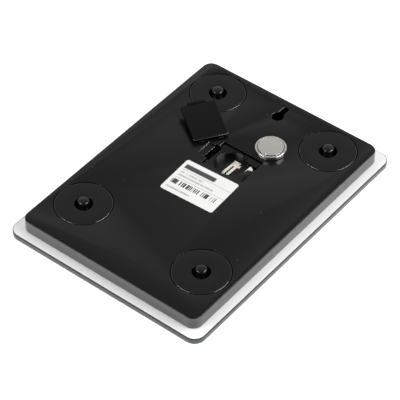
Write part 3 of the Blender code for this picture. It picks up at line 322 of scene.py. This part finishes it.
def front_print():
    """Weighing face: silver under clear glass, with a dark window over the display."""
    shader = Shader("front_glass")
    colour, flakes = silver_print(shader)
    axes = shader.axes()
    half_width, half_height = 24 * MM, 10 * MM
    across = shader.math("LESS_THAN", shader.math("ABSOLUTE", axes["X"]), half_width)
    along = shader.math("SUBTRACT", axes["Y"], middle_of("display_glass").y)
    along = shader.math("LESS_THAN", shader.math("ABSOLUTE", along), half_height)
    window = shader.math("MULTIPLY", across, along)
    shader.set(
        Base_Color=shader.mix(window, colour, (0.012, 0.013, 0.015)),
        Roughness=shader.span(flakes, 0.3, 0.7, 0.2, 0.34), Metallic=0.15,
        Coat_Weight=1.0, Coat_Roughness=0.03,
    )
    return shader.material


def glass_rim():
    """Ground edge of the plate: grey, with dark bands of painted shade along both faces, and
    greenish at the corners.
    """
    shader = Shader("glass_rim")
    axes = shader.axes()
    waves = shader.noise(120.0, 3.0, 0.6, shader.stretched((1.0, 1.0, 6.0)))
    grind = shader.noise(2600.0, 2.0, 0.6, shader.stretched((1.0, 1.0, 0.1)))
    corner = shader.math(
        "MULTIPLY",
        shader.span(shader.math("ABSOLUTE", axes["X"]), 0.063, 0.072, 0.0, 1.0),
        shader.span(shader.math("ABSOLUTE", axes["Y"]), 0.088, 0.097, 0.0, 1.0),
    )
    body = shader.mix(waves, (0.060, 0.055, 0.050), (0.095, 0.094, 0.088))
    body = shader.mix(shader.math("MULTIPLY", corner, 0.6), body, (0.045, 0.085, 0.068))
    # Dark bands near the floor and near the printed face: painted shade, the contact shadow along
    # the floor and the darkness seen into the glass.
    low = shader.span(axes["Z"], 0.5 * MM, 1.2 * MM, 1.0, 0.0)
    high = shader.span(axes["Z"], 3.3 * MM, 3.7 * MM, 0.0, 1.0)
    body = shader.mix(shader.math("MAXIMUM", low, high), body, (0.012, 0.013, 0.012))
    shader.set(
        Base_Color=body, Roughness=shader.span(grind, 0.3, 0.7, 0.1, 0.22),
        Specular_IOR_Level=0.35, Normal=shader.bump(grind, 0.12, 0.02 * MM),
    )
    return shader.material


def spun_metal(name, colour, roughness):
    """Nickel plate with faint rings from pressing and short hairline scratches."""
    shader = Shader(name)
    axes = shader.axes()
    square_x = shader.math("MULTIPLY", axes["X"], axes["X"])
    square_y = shader.math("MULTIPLY", axes["Y"], axes["Y"])
    radius = shader.math("SQRT", shader.math("ADD", square_x, square_y))
    joined = shader.tree.nodes.new("ShaderNodeCombineXYZ")
    shader.link(radius, joined.inputs[0])
    rings = shader.noise(3000.0, 2.0, 0.6, joined.outputs[0])
    cloud = shader.noise(260.0, 4.0, 0.65)
    hair = shader.noise(900.0, 3.0, 0.7, shader.stretched((0.08, 1.6, 1.0)))
    dark, light = shades(colour, 0.07)
    shader.set(
        Base_Color=shader.mix(shader.weighted(cloud, 0.7, hair), dark, light),
        Roughness=shader.span(cloud, 0.3, 0.7, roughness - 0.05, roughness + 0.07),
        Metallic=1.0,
        Normal=shader.bump(rings, 0.03, 0.002 * MM),
    )
    return shader.material


def label_paper(width, height):
    """White label with plain rules, a dark block, bars and rows of dashes in place of print."""
    shader = Shader("label_paper")
    axes = shader.axes()
    along = shader.math("ADD", shader.math("DIVIDE", axes["X"], width), 0.5)
    down = shader.math("SUBTRACT", 0.5, shader.math("DIVIDE", axes["Y"], height))

    def band(value, low, high):
        above = shader.math("GREATER_THAN", value, low)
        return shader.math("MULTIPLY", above, shader.math("LESS_THAN", value, high))

    def area(left, right, top, bottom):
        return shader.math("MULTIPLY", band(along, left, right), band(down, top, bottom))

    def dashes(left, right, top, bottom, pitch, share, seed):
        joined = shader.tree.nodes.new("ShaderNodeCombineXYZ")
        shader.link(shader.math("MULTIPLY", along, pitch), joined.inputs[0])
        joined.inputs[1].default_value = seed
        waves = shader.noise(1.0, 0.0, 0.5, joined.outputs[0])
        inked = shader.math("LESS_THAN", waves, share)
        return shader.math("MULTIPLY", area(left, right, top, bottom), inked)

    rules = shader.math("ADD", area(0.06, 0.985, 0.288, 0.3), area(0.06, 0.985, 0.552, 0.564))
    bars = dashes(0.06, 0.9, 0.61, 0.745, 46.0, 0.56, 3.7)
    bold = shader.math("ADD", area(0.06, 0.64, 0.12, 0.245), bars)
    rows = dashes(0.07, 0.52, 0.35, 0.395, 60.0, 0.62, 1.3)
    rows = shader.math("ADD", rows, dashes(0.07, 0.74, 0.445, 0.49, 60.0, 0.62, 5.9))
    rows = shader.math("ADD", rows, dashes(0.06, 0.5, 0.85, 0.895, 60.0, 0.62, 8.1))
    fibre = shader.noise(1500.0, 3.0, 0.65)
    cloud = shader.noise(60.0, 3.0, 0.5)
    paper = shader.mix(cloud, (0.80, 0.80, 0.79), (0.87, 0.87, 0.865))
    paper = shader.mix(shader.math("MULTIPLY", fibre, 0.08), paper, (0.7, 0.69, 0.67))
    paper = shader.mix(shader.math("MULTIPLY", rows, 0.55), paper, (0.2, 0.2, 0.2))
    paper = shader.mix(shader.math("MULTIPLY", rules, 0.6), paper, (0.12, 0.12, 0.12))
    paper = shader.mix(shader.math("MULTIPLY", bold, 0.93), paper, (0.02, 0.02, 0.022))
    shader.set(
        Base_Color=paper, Roughness=shader.span(fibre, 0.3, 0.7, 0.42, 0.55),
        Specular_IOR_Level=0.2, Normal=shader.bump(fibre, 0.15, 0.02 * MM),
    )
    return shader.material


def display_cell():
    """Grey-green liquid crystal glass."""
    shader = Shader("display_cell")
    tint = shader.noise(200.0, 3.0, 0.5)
    shader.set(
        Base_Color=shader.mix(tint, (0.30, 0.35, 0.31), (0.36, 0.41, 0.37)),
        Roughness=shader.span(tint, 0.3, 0.7, 0.08, 0.16), Coat_Weight=0.6, Coat_Roughness=0.04,
    )
    return shader.material


def striped_silicone():
    """Connector strip: dark conducting layers in pink silicone."""
    shader = Shader("striped_silicone")
    stripes = shader.math("FRACT", shader.math("MULTIPLY", shader.axes()["X"], 3000.0))
    soft = shader.noise(400.0, 3.0, 0.5)
    base = shader.mix(soft, (0.62, 0.36, 0.42), (0.74, 0.46, 0.52))
    shader.set(
        Base_Color=shader.mix(shader.math("LESS_THAN", stripes, 0.4), base, (0.03, 0.03, 0.03)),
        Roughness=shader.span(soft, 0.3, 0.7, 0.4, 0.6),
    )
    return shader.material


def foam():
    """Off-white foam of the bonding tape."""
    shader = Shader("foam_tape")
    cells = shader.noise(1800.0, 4.0, 0.7)
    shader.set(
        Base_Color=shader.mix(cells, (0.6, 0.6, 0.56), (0.8, 0.8, 0.77)),
        Roughness=shader.span(cells, 0.3, 0.7, 0.8, 0.95), Normal=shader.bump(cells, 0.5, 0.1 * MM),
    )
    return shader.material


def solder_mask():
    """Green board: darker tracks show through the mask."""
    shader = Shader("solder_mask")
    tracks = shader.tree.nodes.new("ShaderNodeTexBrick")
    shader.link(shader.place, tracks.inputs["Vector"])
    tracks.inputs["Scale"].default_value = 400.0
    tracks.inputs["Mortar Size"].default_value = 0.03
    weave = shader.noise(900.0, 2.0, 0.5)
    green = shader.mix(weave, (0.012, 0.10, 0.035), (0.02, 0.15, 0.055))
    shader.set(
        Base_Color=shader.mix(tracks.outputs["Fac"], green, (0.05, 0.24, 0.10)),
        Roughness=shader.span(weave, 0.3, 0.7, 0.25, 0.4), Coat_Weight=0.3,
    )
    return shader.material


BLACK_TOP = black_plastic("black_housing", 0.0050, 0.25, True)
# Outer walls: the same black plastic with about seven times the top's colour. The lighter colour is
# painted light for the bright floor the walls face; the gloss and coat come from the shader.
BLACK_WALL_PAINTED_LIGHT = black_plastic("black_wall_painted_light", 0.036, 0.36, True, 0.4, 0.75)
BLACK_DOOR = black_plastic("black_door", 0.0040, 0.36, True, 0.18)
BLACK_DISC = black_plastic("black_disc", 0.0050, 0.22, True)
# Near-black with no gloss: painted shade on recess walls, grooves, door flanks and the rubber
# feet's flanges.
BLACK_PAINTED_SHADE = black_plastic("black_painted_shade", 0.0003, 0.6, False, 0.0)
# Rounded edges: ten times the top's colour. This is a painted highlight added on top of the real
# gloss and coat.
BLACK_PAINTED_HIGHLIGHT_EDGE = black_plastic("black_painted_highlight_edge", 0.05, 0.2, False, 1.0, 1.0)
# Holder bore walls: darker than the top, which is painted shade, with a glossy coat for real
# reflections.
BLACK_BORE_PAINTED_SHADE = black_plastic("black_bore_painted_shade", 0.002, 0.24, False, 1.0, 1.0)
BLACK_RIM = black_plastic("black_rim", 0.006, 0.2, False, 1.0, 1.0)
RUBBER = plain("black_rubber", (0.004, 0.004, 0.004), 0.2, tone=0.25, grain=1500.0)
LOOKS = {
    "black_plastic": BLACK_TOP,
    "glass": glass_rim(),
    "tape": foam(),
    "rubber": RUBBER,
    "steel": plain("plated_steel", (0.55, 0.56, 0.57), 0.3, 1.0, streak=(1.0, 0.1, 1.0)),
    "zinc": plain("zinc_plate", (0.62, 0.63, 0.65), 0.32, 1.0, tone=0.15),
    "white_plastic": plain("white_moulding", (0.78, 0.78, 0.75), 0.4, tone=0.04),
    "cell_steel": spun_metal("cell_steel", (0.80, 0.765, 0.72), 0.24),
    "gasket": plain("cell_gasket", (0.05, 0.05, 0.052), 0.45, tone=0.2),
    "contact": plain(
        "contact_plate", (0.95, 0.90, 0.78), 0.3, 0.4, tone=0.1, streak=(1.0, 0.12, 1.0)
    ),
    "board": solder_mask(),
    "potting": plain("chip_epoxy", (0.012, 0.012, 0.012), 0.2, tone=0.2),
    "display": display_cell(),
    "silicone": striped_silicone(),
    "lead_white": plain("white_lead", (0.75, 0.75, 0.74), 0.45, tone=0.05),
    "lead_red": plain("red_lead", (0.5, 0.02, 0.02), 0.45, tone=0.12),
    "lead_black": plain("black_lead", (0.015, 0.015, 0.015), 0.45, tone=0.2),
    "paper": plain("paper_back", (0.8, 0.8, 0.79), 0.5, tone=0.04),
}


# ------------------------------------------------------------------ mesh helpers
def publish(name, builder, materials, node=None, origin=None, smooth_angle=35.0):
    """Makes the piece, with its edges sharp above smooth_angle, and hands it to the frame."""
    bmesh.ops.recalc_face_normals(builder, faces=builder.faces)
    mesh = bpy.data.meshes.new(name)
    if origin is not None:
        builder.transform(Matrix.Translation(-Vector(origin)))
    builder.to_mesh(mesh)
    builder.free()
    for material in materials:
        mesh.materials.append(material)
    mesh.set_sharp_from_angle(angle=math.radians(smooth_angle))
    piece = bpy.data.objects.new(name, mesh)
    bpy.context.scene.collection.objects.link(piece)
    if origin is not None:
        piece.location = origin
    if node is not None:
        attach(piece, BODY_OF[node])
        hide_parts(node)
    return piece


def refined(node, name, materials, width, wanted=None, edge_index=0, segments=2):
    """The CAD piece again, welded, with its sharp edges, or the wanted ones, rounded by width."""
    builder = bmesh.new()
    builder.from_mesh(NODES[node].data)
    bmesh.ops.remove_doubles(builder, verts=builder.verts, dist=0.002 * MM)
    bmesh.ops.dissolve_limit(
        builder, angle_limit=math.radians(0.4), verts=builder.verts, edges=builder.edges
    )
    chosen = [
        edge for edge in builder.edges
        if len(edge.link_faces) == 2
        and edge.calc_face_angle(0.0) > SHARP_ABOVE
        and (wanted is None or wanted(edge))
    ]
    for chain in edge_chains(chosen):
        rounded = bmesh.ops.bevel(
            builder, geom=[edge for edge in chain if edge.is_valid], offset=width,
            offset_type="OFFSET", segments=segments, profile=0.5, affect="EDGES",
            clamp_overlap=True,
        )
        for face in rounded["faces"]:
            face.material_index = edge_index
    return publish(name, builder, materials, node, smooth_angle=50.0)


def edge_chains(edges):
    """Groups of edges that hang together, always in the order of the edges given."""
    left = dict.fromkeys(edges)
    chains = []
    while left:
        chain = [next(iter(left))]
        del left[chain[0]]
        for edge in chain:
            around = [other for vertex in edge.verts for other in vertex.link_edges]
            joined = [other for other in dict.fromkeys(around) if other in left]
            for other in joined:
                del left[other]
            chain.extend(joined)
        chains.append(chain)
    return chains


def add_lathe(builder, profile, sides, centre):
    """Surface of revolution about an upright axis at centre; a point at radius 0 closes it."""
    rings = []
    for radius, height in profile:
        if radius <= 0.0:
            rings.append([builder.verts.new((centre.x, centre.y, height))])
            continue
        rings.append([
            builder.verts.new((
                centre.x + radius * math.cos(math.tau * step / sides),
                centre.y + radius * math.sin(math.tau * step / sides),
                height,
            ))
            for step in range(sides)
        ])
    for lower, upper in zip(rings, rings[1:]):
        if len(lower) == 1 and len(upper) == 1:
            continue
        for step in range(sides):
            following = (step + 1) % sides
            corners = [lower[step % len(lower)], lower[following % len(lower)],
                       upper[following % len(upper)], upper[step % len(upper)]]
            builder.faces.new(list(dict.fromkeys(corners)))


def fillet(profile, radii, steps=4):
    """Rounds the corners of a profile; radii gives each corner's radius, 0 leaves it sharp."""
    out = []
    for index, point in enumerate(profile):
        radius = radii.get(index, 0.0)
        if radius == 0.0:
            out.append(point)
            continue
        here = Vector(point)
        before = Vector(profile[index - 1]) - here
        after = Vector(profile[index + 1]) - here
        angle = before.angle(after)
        reach = min(radius / math.tan(angle / 2), before.length * 0.49, after.length * 0.49)
        start = here + before.normalized() * reach
        end = here + after.normalized() * reach
        for step in range(steps + 1):
            share = step / steps
            point_on = start.lerp(here, share).lerp(here.lerp(end, share), share)
            out.append((point_on.x, point_on.y))
    return out


def rounded_outline(width, length, radius, steps):
    """Points of a rounded rectangle around the origin, anticlockwise."""
    points = []
    for index, (sign_x, sign_y) in enumerate(((1, 1), (-1, 1), (-1, -1), (1, -1))):
        for step in range(steps + 1):
            angle = math.pi / 2 * (index + step / steps)
            points.append((
                sign_x * (width / 2 - radius) + radius * math.cos(angle),
                sign_y * (length / 2 - radius) + radius * math.sin(angle),
            ))
    return points


def add_loft(builder, rings, cap_indices=(0, 0), side_indices=None):
    """Skin over rings of equal point counts, closed by flat caps."""
    made = [[builder.verts.new(point) for point in ring] for ring in rings]
    count = len(made[0])
    for level, (lower, upper) in enumerate(zip(made, made[1:])):
        for step in range(count):
            following = (step + 1) % count
            face = builder.faces.new((lower[step], lower[following], upper[following], upper[step]))
            face.material_index = side_indices[level] if side_indices else 0
    builder.faces.new(made[0][::-1]).material_index = cap_indices[0]
    builder.faces.new(made[-1]).material_index = cap_indices[1]


# ------------------------------------------------------------------ pieces
def housing():
    """Black underside with softened edges on everything that can be seen; its faces carry painted
    light and shade: lighter outer walls, light rounded edges towards the lights, near-black recess
    walls.
    """
    low_limit = HOUSING_LOW.z + 0.2 * MM
    inside_x = HOUSING_HIGH.x - HOUSING_WALL_ROOM
    inside_y = HOUSING_HIGH.y - HOUSING_WALL_ROOM

    def seen(edge):
        spots = [vertex.co for vertex in edge.verts]
        high = min(spot.z for spot in spots) > UNDERSIDE - DEEPEST_SEEN
        outer = min(max(abs(spot.x) - inside_x, abs(spot.y) - inside_y) for spot in spots) > 0.0
        return high or (outer and max(spot.z for spot in spots) < low_limit)

    top, wall, painted_highlight, shade, bore = range(5)
    looks = [BLACK_TOP, BLACK_WALL_PAINTED_LIGHT, BLACK_PAINTED_HIGHLIGHT_EDGE, BLACK_PAINTED_SHADE, BLACK_BORE_PAINTED_SHADE]
    piece = refined("base_housing", "housing", looks, HOUSING_BEVEL, seen, painted_highlight, 3)
    centres = [middle_of("foot_disc_" + name) for name in FEET]
    for polygon in piece.data.polygons:
        spot, normal = polygon.center, polygon.normal
        past_x = max(abs(spot.x) - HOUSING_HIGH.x + HOUSING_CORNER, 0.0)
        past_y = max(abs(spot.y) - HOUSING_HIGH.y + HOUSING_CORNER, 0.0)
        outer = math.hypot(past_x, past_y) > HOUSING_CORNER - 0.7 * MM
        upright = abs(normal.z) < 0.5
        round_foot = min((spot - centre).xy.length for centre in centres) < DISC_REACH
        # Outer upright faces get the lighter wall material, which is painted light.
        if outer:
            polygon.material_index = wall if upright else top
        # Recessed upright faces get near-black painted shade; in the holder they get the darker
        # glossy bore material, also painted shade.
        elif upright and spot.z < UNDERSIDE - 0.12 * MM:
            in_bore = (spot.xy - HOLDER_MIDDLE).length < HOLDER_REACH
            polygon.material_index = bore if in_bore else shade
        elif round_foot:
            polygon.material_index = top
        elif polygon.material_index == painted_highlight:
            # Rounded edges facing the lights keep the painted highlight. The rest get painted shade
            # when deep, and the top's colour otherwise.
            scoop = SCOOP_X[0] < spot.x < SCOOP_X[1]
            deep = spot.z < UNDERSIDE - DEEP_EDGE
            lit = normal.x > 0.2 and abs(normal.y) < 0.3 and (scoop or not deep)
            if not lit:
                polygon.material_index = shade if deep else top


def glass_plate():
    """Toughened plate with ground arrises; its back is printed silver."""
    size = GLASS_HIGH - GLASS_LOW
    low, high = GLASS_LOW.z, GLASS_HIGH.z
    arris, soft = GLASS_ARRIS, GLASS_ARRIS * 0.3
    levels = (
        (arris, low), (soft, low + soft), (0.0, low + arris), (0.0, low + size.z * 0.5),
        (0.0, high - arris), (soft, high - soft), (arris, high), (arris + PRINT_MARGIN, high),
        (PRINT_BORDER, high),
    )
    builder = bmesh.new()
    rings = []
    for inset, height in levels:
        turn = max(GLASS_CORNER - inset, 1.0 * MM)
        outline = rounded_outline(size.x - 2 * inset, size.y - 2 * inset, turn, 16)
        rings.append([(x, y, height) for x, y in outline])
    rim, front, back, hidden = range(4)
    sides = [rim] * (len(levels) - 2) + [back]
    add_loft(builder, rings, (front, hidden), sides)
    looks = [LOOKS["glass"], front_print(), back_print(), LOOKS["potting"]]
    publish("glass_plate", builder, looks, "glass_platform", smooth_angle=30.0)


def foot_disc(name):
    """Disc with a rounded edge and a moulded step, and a recess for the rubber foot."""
    node = "foot_disc_" + name
    low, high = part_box(node)
    centre = middle_of(node)
    flange = (high.x - low.x) / 2
    radius = flange - 1.0 * MM
    inner = radius - 1.2 * MM
    recess = 5.8 * MM
    bore = 2.7 * MM
    hub = 7.1 * MM
    bore_floor = low.z + 0.6 * MM
    floor = high.z - 2.2 * MM
    plate = high.z - 1.5 * MM
    step = high.z - 2.3 * MM
    skirt = high.z - 3.3 * MM
    profile = [
        (0.0, bore_floor), (bore, bore_floor), (bore, floor), (recess, floor), (recess, high.z),
        (radius, high.z), (radius, step), (flange, step), (flange, skirt), (inner, skirt),
        (inner, plate), (hub, plate), (hub, low.z), (0.0, low.z),
    ]
    radii = {2: 0.1 * MM, 3: 0.15 * MM, 4: 0.3 * MM, 5: 0.45 * MM, 7: 0.1 * MM}
    builder = bmesh.new()
    add_lathe(builder, fillet(profile, radii, 6), LATHE_SIDES_DISC, centre)
    # Recess walls and groove walls get the near-black painted shade; the rim fillet gets the glossy
    # black rim.
    for face in builder.faces:
        spot = face.calc_center_median()
        reach = (spot - centre).xy.length
        in_wall = reach < recess + 0.1 * MM or reach > radius - 0.1 * MM
        if spot.z < UNDERSIDE - 0.4 * MM and in_wall:
            face.material_index = 1
        elif spot.z < UNDERSIDE - 0.01 * MM and reach > radius - 0.5 * MM:
            face.material_index = 2
    publish("disc_" + name, builder, [BLACK_DISC, BLACK_PAINTED_SHADE, BLACK_RIM], node, centre)


def rubber_foot(name):
    """Domed rubber foot on its flange; the flange, in the shade of the recess, gets the near-black
    painted shade.
    """
    node = "rubber_foot_" + name
    low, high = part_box(node)
    centre = middle_of(node)
    wide = (high.x - low.x) / 2
    stem = 2.4 * MM
    flange_low = UNDERSIDE - 1.9 * MM
    flange_high = flange_low + 0.5 * MM
    dome = 3.55 * MM
    crown = 1.3 * MM
    shoulder = high.z - crown
    profile = [
        (0.0, low.z), (stem, low.z), (stem, flange_low), (wide, flange_low), (wide, flange_high),
        (dome, flange_high), (dome, shoulder),
    ]
    profile = fillet(profile, {3: 0.1 * MM, 4: 0.2 * MM, 5: 0.25 * MM})
    steps = 9
    for step in range(1, steps):
        angle = math.pi / 2 * step / steps
        profile.append((dome * math.cos(angle) ** 0.8, shoulder + crown * math.sin(angle)))
    profile.append((0.0, high.z))
    builder = bmesh.new()
    add_lathe(builder, profile, LATHE_SIDES_FOOT, centre)
    for face in builder.faces:
        shaded = face.calc_center_median().z < flange_high + 0.1 * MM
        face.material_index = 1 if shaded else 0
    publish("rubber_" + name, builder, [RUBBER, BLACK_PAINTED_SHADE], node, centre)


def coin_cell():
    """Pressed can with a rolled rim, dark gasket and a cap that is slightly crowned."""
    steel = LOOKS["cell_steel"]
    low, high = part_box("cell_can")
    centre = (low + high) / 2
    radius = (high.x - low.x) / 2
    wall = 0.4 * MM
    lip = 8.75 * MM
    crest = high.z - 0.3 * MM
    under = high.z - 0.75 * MM
    profile = [
        (0.0, low.z), (radius, low.z), (radius, crest), (lip, crest - 0.04 * MM), (lip, under),
        (radius - wall, under), (radius - wall, low.z + wall), (0.0, low.z + wall),
    ]
    profile = fillet(profile, {1: 0.45 * MM, 2: 0.85 * MM, 3: 0.12 * MM}, 8)
    builder = bmesh.new()
    add_lathe(builder, profile, LATHE_SIDES_CELL, centre)
    publish("coin_can", builder, [steel], "cell_can", centre)
    low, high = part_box("cell_gasket")
    outer = (high.x - low.x) / 2
    cap_low, cap_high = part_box("cell_cap")
    cap = (cap_high.x - cap_low.x) / 2
    inner = cap + 0.1 * MM
    dip = high.z - 0.42 * MM
    under -= 0.05 * MM
    lip -= 0.03 * MM
    profile = [
        (outer, low.z), (outer, under), (lip, under), (lip, dip), (inner, dip), (inner, low.z),
        (outer, low.z),
    ]
    builder = bmesh.new()
    rounded = fillet(profile, {3: 0.06 * MM, 4: 0.06 * MM}, 3)
    add_lathe(builder, rounded, LATHE_SIDES_CELL, centre)
    bmesh.ops.remove_doubles(builder, verts=builder.verts, dist=0.001 * MM)
    publish("coin_gasket", builder, [LOOKS["gasket"]], "cell_gasket", centre)
    crown = 0.08 * MM
    profile = [(0.0, cap_low.z), (cap, cap_low.z), (cap, cap_high.z - crown)]
    for step in range(13):
        share = step / 12
        reach = (cap - 0.35 * MM) * (1.0 - share)
        profile.append((reach, cap_high.z - crown * (reach / cap) ** 2))
    profile = fillet(profile, {2: 0.3 * MM}, 6)
    builder = bmesh.new()
    add_lathe(builder, profile, LATHE_SIDES_CELL, centre)
    publish("coin_cap", builder, [steel], "cell_cap", centre)


def label():
    """Thin rounded label that is stuck on slightly askew."""
    centre = (LABEL_LOW + LABEL_HIGH) / 2
    width, height = LABEL_SIZE
    thick = LABEL_HIGH.z - LABEL_LOW.z
    builder = bmesh.new()
    rings = []
    for inset, level in ((0.0, -thick / 2), (0.0, thick * 0.2), (0.06 * MM, thick / 2)):
        outline = rounded_outline(width - 2 * inset, height - 2 * inset, LABEL_CORNER, 8)
        rings.append([(x, y, level) for x, y in outline])
    add_loft(builder, rings)
    piece = publish("label", builder, [label_paper(width, height)], smooth_angle=30.0)
    piece.matrix_world = Matrix.Translation(centre) @ Matrix.Rotation(LABEL_TURN, 4, "Z")
    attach(piece, BODY_OF["rating_label"])
    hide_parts("rating_label")


def door():
    """Battery door: satin face, painted highlight on its thin top edges and painted shade on its
    dark flanks.
    """
    mesh = NODES["battery_door"].data
    up = max(mesh.polygons, key=lambda one: one.area * one.normal.z).normal.copy()
    level = max(vertex.co.dot(up) for vertex in mesh.vertices)
    middle = middle_of("battery_door")
    along = Vector((math.cos(DOOR_TURN), math.sin(DOOR_TURN), 0.0))

    def depth_at(spot):
        return level - spot.dot(up)

    def is_latch(spot):
        return (spot - middle).dot(along) < LATCH_START

    def seen(edge):
        return all(
            depth_at(vertex.co) < 0.05 * MM and not is_latch(vertex.co) for vertex in edge.verts
        )

    face_look, painted_highlight, painted_shade_flank = range(3)
    looks = [BLACK_DOOR, BLACK_PAINTED_HIGHLIGHT_EDGE, BLACK_PAINTED_SHADE]
    piece = refined("battery_door", "door", looks, DOOR_BEVEL, seen, painted_highlight, 3)
    for polygon in piece.data.polygons:
        facing = polygon.normal.dot(up)
        if facing > 0.98:
            polygon.material_index = face_look
        # Faces turned away from the top get painted shade.
        elif facing < 0.3:
            polygon.material_index = painted_shade_flank


housing()
glass_plate()
for foot_name in FEET:
    foot_disc(foot_name)
    rubber_foot(foot_name)
coin_cell()
label()
door()
refined("negative_contact", "forked_contact", [LOOKS["contact"]], CONTACT_BEVEL)
refined("positive_contact", "side_contact", [LOOKS["contact"]], CONTACT_BEVEL)
for node, cad in NODES.items():
    cad.data.materials.clear()
    cad.data.materials.append(LOOKS[SLOT_OF[node]])


# ------------------------------------------------------------------ stage, light and camera
def floor():
    """Pale, evenly lit ground just below the object."""
    builder = bmesh.new()
    bmesh.ops.create_grid(builder, x_segments=1, y_segments=1, size=FLOOR_SIZE)
    mesh = bpy.data.meshes.new("floor")
    builder.to_mesh(mesh)
    builder.free()
    ground = bpy.data.objects.new("floor", mesh)
    ground.location.z = -FLOOR_DROP
    bpy.context.scene.collection.objects.link(ground)
    shader = Shader("floor_paper")
    tone = shader.noise(3.0, 2.0, 0.5)
    shader.set(
        Base_Color=shader.mix(tone, (0.88, 0.88, 0.88), (0.9, 0.9, 0.9)), Roughness=0.9,
        Emission_Color=WHITE, Emission_Strength=0.65,
    )
    mesh.materials.append(shader.material)


def softbox(name, azimuth, elevation, distance, size, power):
    """Rectangular area light that looks at the object; azimuth as for the camera."""
    a = math.radians(azimuth)
    e = math.radians(elevation)
    back = Vector((math.sin(a) * math.cos(e), -math.cos(a) * math.cos(e), math.sin(e)))
    data = bpy.data.lights.new(name, "AREA")
    data.shape = "RECTANGLE"
    data.size, data.size_y = size
    data.energy = power
    lamp = bpy.data.objects.new(name, data)
    lamp.location = back * distance
    lamp.rotation_mode = "QUATERNION"
    lamp.rotation_quaternion = back.to_track_quat("Z", "Y")
    bpy.context.scene.collection.objects.link(lamp)


def world():
    """Even studio surround, darker on the side where the camera stands."""
    surround = bpy.data.worlds.new("studio")
    surround.use_nodes = True
    tree = surround.node_tree
    coords = tree.nodes.new("ShaderNodeTexCoord")
    facing = tree.nodes.new("ShaderNodeVectorMath")
    facing.operation = "DOT_PRODUCT"
    facing.inputs[1].default_value = DARK_SIDE
    ramp = tree.nodes.new("ShaderNodeFloatCurve")
    tree.links.new(coords.outputs["Generated"], facing.inputs[0])
    half = tree.nodes.new("ShaderNodeMath")
    half.operation = "MULTIPLY_ADD"
    half.inputs[1].default_value = 0.5
    half.inputs[2].default_value = 0.5
    tree.links.new(facing.outputs["Value"], half.inputs[0])
    tree.links.new(half.outputs[0], ramp.inputs["Value"])
    curve = ramp.mapping.curves[0]
    curve.points[0].location = (0.0, STUDIO_LEVELS[0][1])
    curve.points[1].location = (1.0, STUDIO_LEVELS[-1][1])
    for facing_share, strength in STUDIO_LEVELS[1:-1]:
        curve.points.new(facing_share, strength)
    ramp.mapping.update()
    tree.links.new(ramp.outputs["Value"], tree.nodes["Background"].inputs["Strength"])
    tree.nodes["Background"].inputs["Color"].default_value = WHITE
    bpy.context.scene.world = surround


floor()
softbox("left_box", *LEFT_BOX)
softbox("right_box", *RIGHT_BOX)
world()
make_camera()
bpy.context.scene.view_settings.view_transform = "Standard"
